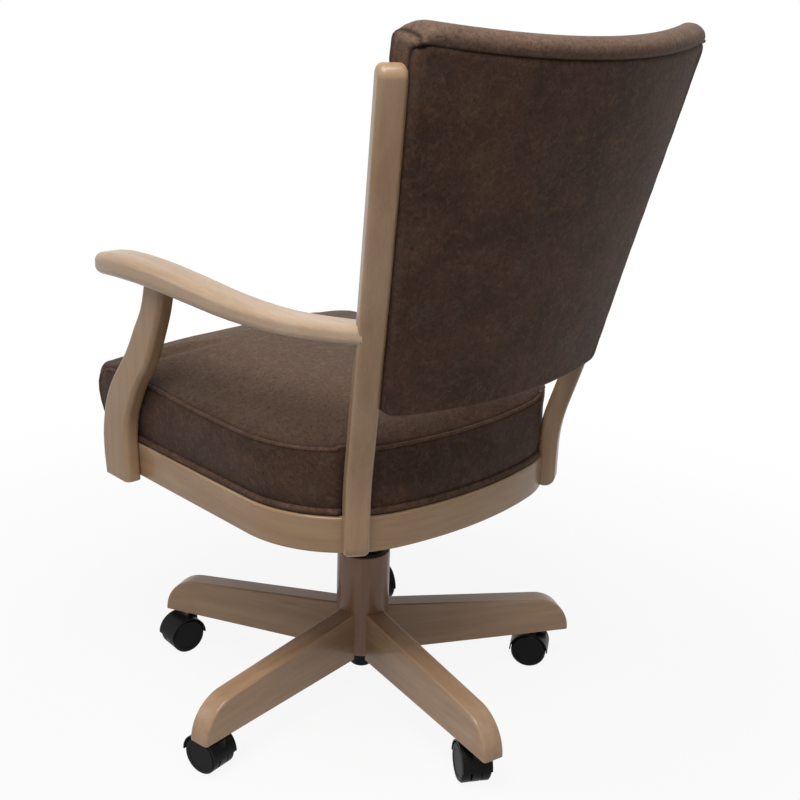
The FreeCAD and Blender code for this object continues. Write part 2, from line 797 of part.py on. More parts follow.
def radial_bolt(height, side):
    seat = rail_t + bolt_seat_gap
    shank = radial_rod(frame_bolt_r, seat, -post_proud / 2, height, side)
    head = radial_rod(frame_bolt_head_r, seat + frame_bolt_head_h, seat, height, side)
    return one_solid(shank.fuse(head))


def arm_post_bolt_y():
    return rail_front + frame_bolt_head_r + arm_bolt_margin


def build_seat_frame():
    bolts = frame_bolts()
    rail = side_rail()
    back = rear_rail()
    for height in frame_bolt_heights:
        rail = rail.cut(rod_x(frame_bolt_r, 0, 2 * seat_half_w, arm_post_bolt_y(), height))
        for side in (-1, 1):
            bore = radial_rod(frame_bolt_r, 2 * rail_t, -2 * post_proud, height, side)
            rail = rail.cut(bore)
            back = back.cut(bore)
    save("side_rail_left", rail)
    save("side_rail_right", mirrored(rail))
    save("rear_rail", back)
    save("front_rail", front_strip(cover_t, rail_t, rail_bottom, rail_top, rail_front - glue_gap))
    save("front_cover", front_strip(0, cover_t - glue_gap, rail_bottom, rail_top, rail_front - glue_gap))
    save("seat_board", seat_board())
    save("corner_blocks", *corner_blocks())
    save("frame_bolts", *(bolts + back_bolts(1) + back_bolts(-1)))


# Seat cushion: boxed sides drawn in at both welts, and a crown that falls to the top welt
def seat_cushion():
    low = rail_top + soft_gap
    levels = [(low + share * (welt_z - low), inset, swell) for share, inset, swell in boxing_levels]
    levels += [(welt_z + share * cushion_crown, inset, swell) for share, inset, swell in crown_levels]
    wires = []
    for z, inset, swell in levels:
        front = seat_front + inset - swell * cushion_front_bulge
        wires.append(closed_outline(inset, front, front_corner_r - min(inset, 0.6 * front_corner_r), z))
    cushion = Part.makeLoft(wires, True, True)
    front_room = arm_post(soft_gap)
    cushion = cushion.cut(front_room).cut(mirrored(front_room))
    for side in (-1, 1):
        cushion = cushion.cut(post_room(side))
    return max(cushion.Solids, key=lambda solid: solid.Volume)


# Rear posts: a bent outline in an upright plane, sawn to width and rounded
def post_outline(grow):
    low = math.radians(post_low_slope)
    high = math.radians(post_top_slope)
    bend = (post_bend_end - post_bend_start) / math.sin(low)
    upper = (post_top - post_bend_end) / (math.sin(low) - math.sin(high))
    knee = bend * (1 - math.cos(low))
    points = {}
    for name, shift in (("rear", grow), ("front", -post_depth - grow)):
        middle = low / 2
        slope_mid = (low + high) / 2
        foot = V(shift, 0, post_foot - grow + (post_heel_r if name == "rear" else post_toe_r))
        start = V(shift, 0, post_bend_start)
        bent = V(shift + bend * (1 - math.cos(middle)), 0, post_bend_start + bend * math.sin(middle))
        end = V(shift + knee, 0, post_bend_end)
        half_z = post_bend_end + upper * (math.sin(low) - math.sin(slope_mid))
        half_s = shift + knee + upper * (math.cos(slope_mid) - math.cos(low))
        top_s = shift + knee + upper * (math.cos(high) - math.cos(low))
        points[name] = (foot, start, bent, end, V(half_s, 0, half_z), V(top_s, 0, post_top + grow))
    return points


def post_sole(rear, front):
    low = rear.z - post_heel_r
    heel = V(rear.x - post_heel_r, 0, low)
    toe = V(front.x + post_toe_r, 0, low)
    slack = 1 - math.sqrt(0.5)
    heel_mid = V(rear.x - slack * post_heel_r, 0, low + slack * post_heel_r)
    toe_mid = V(front.x + slack * post_toe_r, 0, low + slack * post_toe_r)
    return [arc(rear, heel_mid, heel), line(heel, toe), arc(toe, toe_mid, front)]


def post_dome(rear, front):
    slope = math.radians(post_top_slope)
    up = V(math.sin(slope), 0, math.cos(slope))
    width = rear.x - front.x
    brow = front + up * (width * math.sin(slope))
    crest = (rear + brow) * 0.5 + up * (width * math.cos(slope) / 2)
    return [line(front, brow), arc(rear, crest, brow)]


def post_prism(grow):
    points = post_outline(grow)
    half = post_w / 2 + grow
    edges = []
    for foot, start, bent, end, middle, top in points.values():
        edges += [line(foot, start), arc(start, bent, end), arc(end, middle, top)]
    edges += post_sole(points["rear"][0], points["front"][0])
    edges += post_dome(points["rear"][-1], points["front"][-1])
    post = prism(edges, V(0, 2 * half, 0))
    post.translate(V(0, -half, 0))
    return post


def stood_up(post, side):
    foot = corner_point(-post_proud, post_polar, 0)
    post.rotate(V(0, 0, 0), V(0, 0, 1), 90.0 - post_lean_yaw)
    post.translate(V(foot.x, foot.y, 0))
    return post if side > 0 else mirrored(post)


def rear_post(grow=0.0):
    return stood_up(rounded(post_prism(grow), post_edge, lambda edge: edge.BoundBox.YLength < 0.1), 1)


def post_room(side):
    return stood_up(post_prism(soft_gap), side)


def post_housing():
    low = rail_bottom - rail_h
    outline = closed_outline(-glue_gap, seat_front - glue_gap, front_corner_r + glue_gap, low)
    return Part.Face(outline).extrude(V(0, 0, rail_top - low))


def back_bolts(side):
    yaw = math.radians(post_lean_yaw)
    across = V(math.cos(yaw), -math.sin(yaw), 0)
    along = V(math.sin(yaw), math.cos(yaw), 0)
    foot = corner_point(-post_proud, post_polar, 0)
    bolts = []
    for height in back_bolt_heights:
        centre = foot + along * (post_shift(height) - post_depth / 2) + V(0, 0, height)
        head = centre + across * (post_w / 2 - back_bolt_head_h)
        end = centre - across * (post_w / 2 + back_bolt_bite)
        bolt = Part.makeCylinder(back_bolt_r, (head - end).Length, head, across * -1)
        bolt = one_solid(bolt.fuse(Part.makeCylinder(back_bolt_head_r, back_bolt_head_h / 2, head, across)))
        bolts.append(bolt if side > 0 else mirrored(bolt))
    return bolts


def post_shift(height):
    low = math.radians(post_low_slope)
    high = math.radians(post_top_slope)
    bend = (post_bend_end - post_bend_start) / math.sin(low)
    upper = (post_top - post_bend_end) / (math.sin(low) - math.sin(high))
    slope = math.asin(math.sin(low) - (height - post_bend_end) / upper)
    return bend * (1 - math.cos(low)) + upper * (math.cos(slope) - math.cos(low))


# Arms and arm posts: straight-sided lofts through closely spaced rounded sections
def eased(stations, steps):
    ends = [stations[0]] + stations + [stations[-1]]
    rows = []
    for before, first, second, after in zip(ends, ends[1:], ends[2:], ends[3:]):
        for step in range(steps):
            t = step / steps
            weights = (-t ** 3 + 2 * t ** 2 - t, 3 * t ** 3 - 5 * t ** 2 + 2,
                       -3 * t ** 3 + 4 * t ** 2 + t, t ** 3 - t ** 2)
            rows.append([sum(w * v for w, v in zip(weights, values)) / 2
                         for values in zip(before, first, second, after)])
    return rows + [list(stations[-1])]


def rounded_section(centre, across, up, half_w, half_t, edge):
    slack = edge * (1 - math.sqrt(0.5))
    corners = []
    for sx, sz in ((1, -1), (1, 1), (-1, 1), (-1, -1)):
        on_side = centre + across * (sx * half_w) + up * (sz * (half_t - edge))
        on_face = centre + across * (sx * (half_w - edge)) + up * (sz * half_t)
        on_turn = centre + across * (sx * (half_w - slack)) + up * (sz * (half_t - slack))
        first, last = (on_side, on_face) if sx * sz > 0 else (on_face, on_side)
        corners.append((first, on_turn, last))
    loop = []
    for index, (first, middle, last) in enumerate(corners):
        loop.append(arc(first, middle, last))
        loop.append(line(last, corners[(index + 1) % 4][0]))
    return Part.Wire(loop)


def arm_post(grow=0.0):
    wires = []
    for z, front, rear in eased(arm_post_stations, 2):
        centre = V(seat_half_w + glue_gap + arm_post_t / 2, rail_front + (front + rear) / 2, rail_bottom + z)
        half = (rear - front) / 2 + grow
        wires.append(rounded_section(centre, V(1, 0, 0), V(0, 1, 0), arm_post_t / 2 + grow, half,
                                     arm_post_edge))
    return Part.makeLoft(wires, True, True)


def arm(grow=0.0):
    wires = []
    for x, y, top, width, thick, turn, edge in eased(arm_stations, 3):
        yaw = math.radians(turn)
        across = V(math.cos(yaw), math.sin(yaw), 0)
        centre = V(seat_half_w + x, rail_front + y, rail_bottom + top - thick / 2)
        wires.append(rounded_section(centre, across, V(0, 0, 1), width / 2 + grow, thick / 2 + grow,
                                     edge + grow))
    return Part.makeLoft(wires, True, True)


def build_wood_uprights():
    post = rear_post()
    post = post.cut(post_housing())
    for bolt in back_bolts(1) + frame_bolts():
        post = post.cut(bolt)
    save("rear_post_left", post)
    save("rear_post_right", mirrored(post))
    front_post = arm_post().cut(moved(arm(), 0, 0, -glue_gap))
    front_post = max(front_post.Solids, key=lambda solid: solid.Volume)
    for bolt in frame_bolts():
        front_post = front_post.cut(bolt)
    save("arm_post_left", front_post)
    save("arm_post_right", mirrored(front_post))
    rest = arm().cut(rear_post(glue_gap))
    rest = max(rest.Solids, key=lambda solid: solid.Volume)
    save("arm_left", rest)
    save("arm_right", mirrored(rest))


# Back pad: bent sections in the leaning frame
def back_point(x, deep, height):
    lean = math.radians(back_lean)
    y = back_y + deep * math.cos(lean) + height * math.sin(lean)
    z = back_z - deep * math.sin(lean) + height * math.cos(lean)
    return V(x, y, z)


def bow(x):
    return math.sqrt(back_bow_r ** 2 - x ** 2) - back_bow_r


def back_half_width(height):
    return back_low_half_w + (back_top_half_w - back_low_half_w) * height / back_h


def back_section(half, rear, front, height, crown=0.0):
    left_rear = back_point(half, bow(half) - rear, height)
    right_rear = back_point(-half, bow(half) - rear, height)
    left_front = back_point(half, bow(half) - front, height)
    right_front = back_point(-half, bow(half) - front, height)
    return Part.Wire([arc(left_rear, back_point(0, -rear, height), right_rear), line(right_rear, right_front),
                      arc(right_front, back_point(0, -front - crown, height), left_front),
                      line(left_front, left_rear)])


def back_layer(rear, front, low, high, margin):
    wires = [back_section(back_half_width(height) - margin, rear, front, height) for height in (low, high)]
    return Part.makeLoft(wires, True, True)


def back_blank():
    wires = []
    for step in (0.0, 0.5, 1.0):
        height = back_low_round * step
        shy = back_low_round * (1 - math.sqrt(1 - (1 - step) ** 2))
        half = back_half_width(height) - shy
        wires.append(back_section(half, shy, back_t - shy, height, back_crown * step))
    for share in (0.25, 0.5, 0.75, 1.0):
        height = back_low_round + (back_h - back_low_round) * share
        swell = back_crown * (1 + math.sin(math.pi * share)) / 2
        wires.append(back_section(back_half_width(height), 0.0, back_t, height, swell))
    for turn in back_roll_turns:
        angle = math.radians(turn)
        shy = back_roll_r * (1 - math.cos(angle))
        height = back_h + back_roll_r * math.sin(angle)
        swell = back_crown / 2 * math.cos(angle)
        wires.append(back_section(back_half_width(back_h) - shy / 2, shy, back_t - shy, height, swell))
    return Part.makeLoft(wires, True, True)


def build_back():
    board = back_layer(panel_t, panel_t + back_board_t, back_board_margin, back_h - back_board_margin,
                       back_board_margin)
    panel = back_layer(0, panel_t - soft_gap, panel_margin, back_h - panel_margin / 2, panel_margin)
    room = back_layer(-overshoot, panel_t, panel_margin - soft_gap, back_h - panel_margin / 2 + soft_gap,
                      panel_margin - soft_gap)
    pad = back_blank().cut(room)
    board_margin = back_board_margin - soft_gap
    board_room = back_layer(panel_t - overshoot, panel_t + back_board_t + soft_gap, board_margin,
                            back_h - board_margin, board_margin)
    pad = pad.cut(board_room)
    for side in (-1, 1):
        wide_post = post_room(side)
        wide_arm = arm(soft_gap) if side > 0 else mirrored(arm(soft_gap))
        pad = pad.cut(wide_post).cut(wide_arm)
        panel = panel.cut(wide_post)
        board = board.cut(wide_post)
        for bolt in back_bolts(side):
            board = board.cut(bolt)
            pad = pad.cut(bolt)
            panel = panel.cut(bolt)
    save("back_board", max(board.Solids, key=lambda solid: solid.Volume))
    save("back_panel", max(panel.Solids, key=lambda solid: solid.Volume))
    save("back_cushion", max(pad.Solids, key=lambda solid: solid.Volume))


build_base()
build_casters()
build_lift()
build_tilt_control()
build_seat_frame()
build_wood_uprights()
save("seat_cushion", seat_cushion())
build_back()
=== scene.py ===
import math

import bmesh
import bpy
from mathutils import Matrix, Vector
from mathutils.bvhtree import BVHTree
from mathutils.geometry import intersect_line_sphere_2d
from mathutils.kdtree import KDTree


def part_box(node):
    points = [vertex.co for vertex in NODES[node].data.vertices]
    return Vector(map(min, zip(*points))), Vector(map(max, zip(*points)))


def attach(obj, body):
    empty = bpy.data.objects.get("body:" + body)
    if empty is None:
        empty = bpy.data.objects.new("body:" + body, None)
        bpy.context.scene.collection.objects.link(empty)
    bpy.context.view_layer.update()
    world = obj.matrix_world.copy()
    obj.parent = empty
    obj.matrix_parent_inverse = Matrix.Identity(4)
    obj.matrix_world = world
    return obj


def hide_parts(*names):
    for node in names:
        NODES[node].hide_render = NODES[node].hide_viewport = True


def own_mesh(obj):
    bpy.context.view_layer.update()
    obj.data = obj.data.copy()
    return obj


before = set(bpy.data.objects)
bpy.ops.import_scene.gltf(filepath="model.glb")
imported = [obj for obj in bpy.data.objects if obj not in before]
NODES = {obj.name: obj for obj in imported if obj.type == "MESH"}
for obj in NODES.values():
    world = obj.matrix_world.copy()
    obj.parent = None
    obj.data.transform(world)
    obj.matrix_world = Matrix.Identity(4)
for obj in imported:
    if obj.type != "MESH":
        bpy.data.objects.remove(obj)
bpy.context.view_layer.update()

bl_info = {
    "name": "Swivel armchair",
    "version": (1, 0, 0),
    "blender": (4, 5, 0),
    "location": "View3D > Sidebar > Armchair",
    "description": "Upholstery, finishes and studio of a wooden swivel armchair",
    "category": "Object",
}

MM = 0.001
WELD = 0.02 * MM
ORIGIN = (0.0, 0.0, 0.0)
QUARTER = math.radians(90.0)


def unit(value):
    """A value held between nought and one."""
    return min(1.0, max(0.0, value))


def linear(level):
    """One colour channel, written from 0 to 255 as on a screen, as a linear value."""
    share = level / 255.0
    return share / 12.92 if share <= 0.04045 else ((share + 0.055) / 1.055) ** 2.4


def tint(red, green, blue):
    """A colour written as on a screen, as linear values."""
    return (linear(red), linear(green), linear(blue))


def number(name, description, default, **kind):
    """A number that a user may change."""
    return bpy.props.FloatProperty(name=name, description=description, default=default, **kind)


def length(name, description, default):
    """A size in metres, given here in millimetres."""
    return number(name, description, default * MM, unit="LENGTH", precision=4)


def position(name, description, default):
    """A place in the scene."""
    return bpy.props.FloatVectorProperty(
        name=name, description=description, default=default, subtype="XYZ", unit="LENGTH"
    )


def colour(name, description, default):
    """A colour that a user may change."""
    return bpy.props.FloatVectorProperty(
        name=name, description=description, default=default, subtype="COLOR",
        size=3, min=0.0, max=1.0,
    )


class ARMCHAIR_PG_seat(bpy.types.PropertyGroup):
    """Sizes of the seat's upholstery"""

    half_width: length("Half width", "Half the cushion's width on the frame", 250.0)
    rear: length("Rear", "Where the cushion ends at the back", 219.0)
    front: length("Front", "Where the cushion ends at the front", -326.0)
    rear_bow: length("Rear bow", "Radius of the bowed rear edge", 569.0)
    corner_x: length("Corner x", "Centre of the rear corner's bend, sideways", 90.0)
    corner_y: length("Corner y", "Centre of the rear corner's bend, front to back", 48.97)
    front_corner: length("Front corner", "Radius of the front corners", 35.0)
    base: length("Base", "Height of the cushion's underside", 398.6)
    welt: length("Welt height", "Height of the piped edge", 487.0)
    crown: length("Crown", "Rise of the top panel above the piped edge", 39.5)
    welt_radius: length("Piping radius", "Radius of the piped edge", 2.8)
    roll_radius: length("Roll radius", "Radius of the roll along the frame", 4.6)
    notch_gap: length("Notch gap", "Room between the cushion and a rear post", 1.2)
    arm_limit: length("Arm limit", "Half width where an arm post presses the cushion", 250.5)
    rail_top: length("Rail top", "Height of the frame's upper edge", 398.0)


class ARMCHAIR_PG_back(bpy.types.PropertyGroup):
    """Sizes of the back's upholstery"""

    lean: number("Lean", "How far the back leans", math.radians(15.5), subtype="ANGLE")
    foot_y: length("Foot y", "Rear face of the pad at its lower edge", 271.0)
    foot_z: length("Foot z", "Height of the pad's lower edge", 545.0)
    height: length("Height", "From the lower edge to the top roll's centre", 427.0)
    low_half: length("Lower half width", "Half the width at the lower edge", 196.0)
    high_half: length("Upper half width", "Half the width at the top roll", 251.0)
    thick: length("Thickness", "Thickness of the pad", 47.5)
    bow: length("Bow", "Radius of the bow from side to side", 650.0)
    roll_top: length("Roll top", "Height of the top roll's crest up the pad", 450.0)
    seam: length("Seam", "Height of the seam under the top roll", 430.5)
    panel_thick: length("Panel thickness", "Thickness of the rear panel", 14.5)
    end_round: length("End round", "Rounding at the ends of the top roll", 17.0)
    end_rise: length("End rise", "How far the top rises towards its ends", 2.6)
    corner: length("Corner", "Radius of the rear panel's upper corners", 15.0)
    lean_out: length("Lean out", "How far the rear panel stands out at its foot", 8.5)


class ARMCHAIR_PG_finish(bpy.types.PropertyGroup):
    """Colours of wood, leather and fittings"""

    maple: colour("Maple", "Washed maple", tint(160, 131, 101))
    maple_dark: colour("Dark maple", "Darker figure in the maple", tint(137, 104, 74))
    arm_maple: colour("Arm maple", "Paler maple of the arms", tint(181, 156, 131))
    arm_dark: colour("Dark arm maple", "Darker figure in the arms", tint(158, 129, 102))
    base_maple: colour("Base maple", "Maple of the legs", tint(174, 143, 114))
    base_dark: colour("Dark base maple", "Darker figure in the legs", tint(145, 112, 84))
    hub_maple: colour("Hub maple", "Maple of the hub", tint(146, 110, 86))
    hub_dark: colour("Dark hub maple", "Darker figure in the hub", tint(120, 87, 66))
    beech: colour("Beech", "Inner frame", tint(196, 164, 124))
    beech_dark: colour("Dark beech", "Darker figure of the inner frame", tint(170, 134, 96))
    leather: colour("Leather", "Main brown of the hide", tint(86, 62, 50))
    leather_dark: colour("Dark leather", "Dark clouds of the hide", tint(64, 46, 37))
    # Tan of the hide's wear, also mixed onto the tops as painted light
    leather_worn_and_lit: colour("Worn leather", "Tan where the hide is worn", tint(116, 90, 70))
    # Grey of the hide's bloom, also mixed onto the tops as a painted sheen
    leather_grey: colour("Grey leather", "Blue-grey bloom on the hide", tint(93, 83, 76))
    plastic: colour("Plastic", "Casters and caps", tint(15, 15, 16))
    powder: colour("Powder coat", "Tilt control", tint(24, 24, 25))
    zinc: colour("Zinc", "Bolts and pins", tint(186, 188, 190))


class ARMCHAIR_PG_studio(bpy.types.PropertyGroup):
    """Camera, lamps and floor"""

    eye: position("Eye", "Where the camera stands", (1.1049, 1.2013, 1.0247))
    aim: position("Aim", "What the camera looks at", (-0.0482, 0.0176, 0.4606))
    roll: number("Roll", "Turn of the camera about its view", math.radians(1.9), subtype="ANGLE")
    lens: number("Lens", "Focal length in millimetres on a 36 mm sensor", 54.07)
    top_power: number("Top lamp", "Power of the lamp overhead", 78.0, unit="POWER")
    side_power: number("Side lamp", "Power of the lamp at the left", 9.0, unit="POWER")
    fill_power: number("Fill lamp", "Power of the lamp by the camera", 1.5, unit="POWER")
    ambient: number("Ambient", "Strength of the even light", 0.17)


def joined(operation, swapped=False):
    """A method that joins a socket and a number, or two sockets, by one sum."""
    def method(wire, other):
        pair = {1: wire, 0: other} if swapped else {0: wire, 1: other}
        return wire.board.node("ShaderNodeMath", {"operation": operation}, pair)

    return method


class Wire:
    """A shader socket that takes part in sums as a number does."""

    __add__ = joined("ADD")
    __radd__ = joined("ADD", True)
    __sub__ = joined("SUBTRACT")
    __rsub__ = joined("SUBTRACT", True)
    __mul__ = joined("MULTIPLY")
    __rmul__ = joined("MULTIPLY", True)
    __pow__ = joined("POWER")
    least = joined("MINIMUM")
    most = joined("MAXIMUM")
    arctan = joined("ARCTAN2")

    def __init__(self, board, socket):
        self.board = board
        self.socket = socket

    def between(self, low, high):
        """Nought below low, one above high, and smooth from one to the other."""
        settings = {"interpolation_type": "SMOOTHSTEP"}
        return self.board.node("ShaderNodeMapRange", settings, {0: self, 1: low, 2: high})


class Board:
    """The node tree of one material or of the world."""

    def __init__(self, owner):
        owner.use_nodes = True
        self.owner = owner
        self.tree = owner.node_tree
        self.tree.nodes.clear()

    def node(self, kind, settings=None, inputs=None, output=0):
        """Adds one node, its settings first and then its sockets, and gives one output."""
        made = self.tree.nodes.new(kind)
        for key, value in (settings or {}).items():
            setattr(made, key, value)
        for key, value in (inputs or {}).items():
            if isinstance(value, Wire):
                self.tree.links.new(value.socket, made.inputs[key])
            else:
                made.inputs[key].default_value = value
        return Wire(self, made.outputs[output]) if made.outputs else None

    def place(self, turn=ORIGIN):
        """Object coordinates, turned for one piece."""
        inputs = {"Vector": self.node("ShaderNodeTexCoord", output="Object"), "Rotation": turn}
        return self.node("ShaderNodeMapping", {"vector_type": "TEXTURE"}, inputs)

    def split(self, vector):
        """The x, y and z of a vector."""
        parts = self.node("ShaderNodeSeparateXYZ", None, {0: vector}).socket.node
        return [Wire(self, socket) for socket in parts.outputs]

    def stretch(self, vector, x, y, z):
        """A vector with each axis scaled."""
        return self.node(
            "ShaderNodeVectorMath", {"operation": "MULTIPLY"}, {0: vector, 1: (x, y, z)}
        )

    def noise(self, vector, scale, detail=3.0, rough=0.5, distort=0.0):
        """Soft noise from nought to one."""
        inputs = {
            "Vector": vector, "Scale": scale, "Detail": detail, "Roughness": rough,
            "Distortion": distort,
        }
        return self.node("ShaderNodeTexNoise", {"noise_dimensions": "3D"}, inputs)

    def cells(self, vector, scale):
        """Distance to the nearest grain of a pebbled surface."""
        return self.node("ShaderNodeTexVoronoi", None, {"Vector": vector, "Scale": scale})

    def mix(self, share, first, second):
        """Two colours mixed."""
        first = first if isinstance(first, Wire) else (*first, 1.0)
        second = second if isinstance(second, Wire) else (*second, 1.0)
        inputs = {0: share, 6: first, 7: second}
        return self.node("ShaderNodeMix", {"data_type": "RGBA"}, inputs, output=2)

    def bump(self, height, strength, distance):
        """A surface normal from a height."""
        inputs = {"Height": height, "Strength": strength, "Distance": distance}
        return self.node("ShaderNodeBump", None, inputs)

    def surface(self, inputs):
        """Finishes the surface from the main shader's sockets, and gives the material."""
        shader = self.node("ShaderNodeBsdfPrincipled", None, inputs)
        self.node("ShaderNodeOutputMaterial", None, {"Surface": shader})
        return self.owner


def faded(shade, share):
    """A darker tone of a colour."""
    return tuple(share * channel for channel in shade)


def material(name):
    """The node board of a new material."""
    return Board(bpy.data.materials.new(name))


def along_straight(turn):
    """Grain that runs straight, turned so that it follows a piece."""
    return lambda board: board.place(turn=turn)


def along_side_rail(board):
    """Grain that runs along a side rail and round its bend."""
    seat = bpy.context.scene.armchair_seat
    x, y, z = board.split(board.node("ShaderNodeTexCoord", output="Object"))
    out = board.node("ShaderNodeMath", {"operation": "ABSOLUTE"}, {0: x}) - seat.corner_x
    past = y - seat.corner_y
    round_bend = past.most(0.0)
    run = round_bend.arctan(out) * (seat.half_width - seat.corner_x) + past.least(0.0)
    deep = (out * out + round_bend * round_bend) ** 0.5
    return board.node("ShaderNodeCombineXYZ", None, {0: run, 1: deep, 2: z})


def along_rear_rail(board):
    """Grain that runs along the bowed rear rail."""
    seat = bpy.context.scene.armchair_seat
    x, y, z = board.split(board.node("ShaderNodeTexCoord", output="Object"))
    ahead = y + (seat.rear_bow - seat.rear)
    run = x.arctan(ahead) * seat.rear_bow
    deep = (x * x + ahead * ahead) ** 0.5
    return board.node("ShaderNodeCombineXYZ", None, {0: run, 1: deep, 2: z})


def wood(name, pale, dark, path, offset, flecks=0.12, coat=0.3):
    """Close-grained lacquered wood, its grain along the first axis of path."""
    board = material(name)
    spot = board.node(
        "ShaderNodeVectorMath", {"operation": "ADD"}, {0: path(board), 1: offset}
    )
    long_grain = board.stretch(spot, 0.055, 1.0, 1.0)
    figure = board.noise(board.stretch(spot, 0.14, 1.0, 1.0), 20.0, 3.0, 0.55, 0.9)
    fibres = board.noise(long_grain, 420.0, 3.0, 0.62)
    streaks = board.noise(long_grain, 95.0, 2.0, 0.5, 0.3)
    dashes = board.noise(board.stretch(spot, 0.12, 1.0, 1.0), 520.0, 1.0, 0.4)
    clouds = board.noise(spot, 9.0, 2.0, 0.5)
    specks = dashes.between(0.66, 0.76) * clouds.between(0.42, 0.62)
    share = figure.between(0.3, 0.72) * 0.5 + streaks.between(0.35, 0.7) * 0.25 + 0.04
    base = board.mix(share, pale, dark)
    washed = board.mix(clouds.between(0.45, 0.75) * 0.1, base, tint(196, 182, 164))
    fine = board.mix(fibres.between(0.35, 0.75) * 0.14, washed, faded(dark, 0.55))
    spotted = board.mix(specks * flecks, fine, faded(dark, 0.3))
    height = fibres * 0.5 + streaks * 0.3 - specks * 0.4
    return board.surface({
        "Base Color": spotted,
        "Roughness": 0.33 + fibres * 0.12 + specks * 0.1,
        "Normal": board.bump(height, 0.1, 0.0005),
        "Coat Weight": coat,
        "Coat Roughness": 0.12,
        "Specular IOR Level": 0.22,
    })


def leather(name, finish, shade=1.0, crest=(9.0, 9.1), worn_and_lit=0.2, rear=(9.0, 9.1)):
    """Distressed brown hide: clouded and tan in patches of wear; paler and greyer above a crest as
    painted light and painted sheen from above, and kept darker behind a rear line as painted
    shadow.
    """
    board = material(name)
    spot = board.place()
    _, y, z = board.split(spot)
    # high marks painted light from above: one above the crest, and nought behind the rear line,
    # where it stands for painted shadow under the back
    high = z.between(*crest) * (1.0 - y.between(*rear))
    broad = board.noise(spot, 12.0, 4.0, 0.55, 0.4)
    mottle = board.noise(board.stretch(spot, 1.0, 1.1, 1.2), 84.0, 5.0, 0.68, 1.0)
    bloom = board.noise(board.stretch(spot, 1.2, 1.0, 1.0), 24.0, 4.0, 0.55, 0.4)
    ridge = board.noise(board.stretch(spot, 1.1, 1.0, 0.9), 38.0, 4.0, 0.6, 0.9) - 0.5
    nap = board.noise(board.stretch(spot, 1.0, 0.9, 0.75), 280.0, 4.0, 0.7, 0.9)
    fine = board.noise(spot, 900.0, 2.0, 0.5)
    pebbles = board.cells(spot, 640.0)
    seam = board.node("ShaderNodeAttribute", {"attribute_name": "seam"}, output="Fac")
    dark = faded(finish.leather_dark, shade)
    brown = faded(finish.leather, shade)
    tan = faded(finish.leather_worn_and_lit, shade)
    grey = faded(finish.leather_grey, shade)
    veins = 1.0 - (ridge * ridge).between(0.0, 0.0016)
    # Tan patches of wear, made stronger on the tops as painted light
    rubbed_and_top_lit = mottle.between(0.46, 0.68) * (0.34 + high * worn_and_lit)
    base = board.mix(broad.between(0.3, 0.7), dark, brown)
    tanned = board.mix(rubbed_and_top_lit + veins * 0.12, base, tan)
    # Blue-grey bloom at random, plus a painted sheen on the tops
    bloom_and_sheen = board.mix(bloom.between(0.5, 0.72) * 0.2 + high * 0.35, tanned, grey)
    # Painted light: the tops turn a paler tan
    lifted_tone = board.mix(high * worn_and_lit, bloom_and_sheen, tan)
    napped = board.mix(nap.between(0.47, 0.66) * 0.55, lifted_tone, faded(dark, 0.42))
    pits = board.mix(fine.between(0.55, 0.75) * 0.3, napped, faded(dark, 0.35))
    sewn = board.mix(seam * 0.85, pits, faded(dark, 0.16))
    height = pebbles * -0.4 + nap * 0.6 + fine * 0.35 + mottle * 0.7
    return board.surface({
        "Base Color": sewn,
        "Roughness": 0.56 + nap * 0.14 - rubbed_and_top_lit * 0.1,
        "Normal": board.bump(height, 0.25, 0.0008),
        "Specular IOR Level": 0.1,
        "Sheen Weight": 0.03,
        "Sheen Roughness": 0.45,
    })


def plastic(name, shade, rough, grain):
    """Moulded plastic with a fine texture and light scuffs."""
    board = material(name)
    spot = board.place()
    texture = board.noise(spot, 1900.0, 2.0, 0.5)
    scuffs = board.noise(board.stretch(spot, 1.0, 1.0, 3.0), 160.0, 4.0, 0.65, 0.6)
    dust = board.noise(spot, 30.0, 4.0, 0.6)
    marks = scuffs.between(0.6, 0.78) * dust.between(0.4, 0.7)
    return board.surface({
        "Base Color": board.mix(marks * 0.2, shade, tint(70, 69, 68)),
        "Roughness": rough + texture * 0.08 + marks * 0.25,
        "Normal": board.bump(texture, grain, 0.0002),
        "Specular IOR Level": 0.1,
    })


def rubber(name):
    """Matt rubber with a faint bloom."""
    board = material(name)
    spot = board.place()
    bloom = board.noise(spot, 140.0, 4.0, 0.6)
    grain = board.noise(spot, 1500.0, 2.0, 0.5)
    return board.surface({
        "Base Color": board.mix(bloom.between(0.4, 0.75) * 0.5, tint(22, 22, 22), tint(52, 51, 50)),
        "Roughness": 0.72 + grain * 0.12,
        "Normal": board.bump(grain, 0.2, 0.0003),
        "Specular IOR Level": 0.2,
    })


def powder_coat(name, shade):
    """Powder-coated steel with a slight orange peel."""
    board = material(name)
    spot = board.place()
    peel = board.noise(spot, 700.0, 2.0, 0.5)
    wear = board.noise(spot, 60.0, 5.0, 0.65)
    return board.surface({
        "Base Color": board.mix(wear.between(0.55, 0.8) * 0.4, shade, tint(66, 65, 64)),
        "Roughness": 0.42 + peel * 0.14,
        "Normal": board.bump(peel, 0.22, 0.0003),
        "Specular IOR Level": 0.25,
    })


def bright_steel(name, shade, rough):
    """Zinc-plated or polished steel with turning marks."""
    board = material(name)
    spot = board.place()
    lines = board.noise(board.stretch(spot, 0.2, 0.2, 6.0), 700.0, 2.0, 0.5)
    stain = board.noise(spot, 90.0, 4.0, 0.6)
    dull = faded(shade, 0.55)
    return board.surface({
        "Base Color": board.mix(stain.between(0.45, 0.8) * 0.5, shade, dull),
        "Metallic": 1.0,
        "Roughness": rough + lines * 0.12 + stain * 0.06,
        "Normal": board.bump(lines, 0.06, 0.0002),
    })


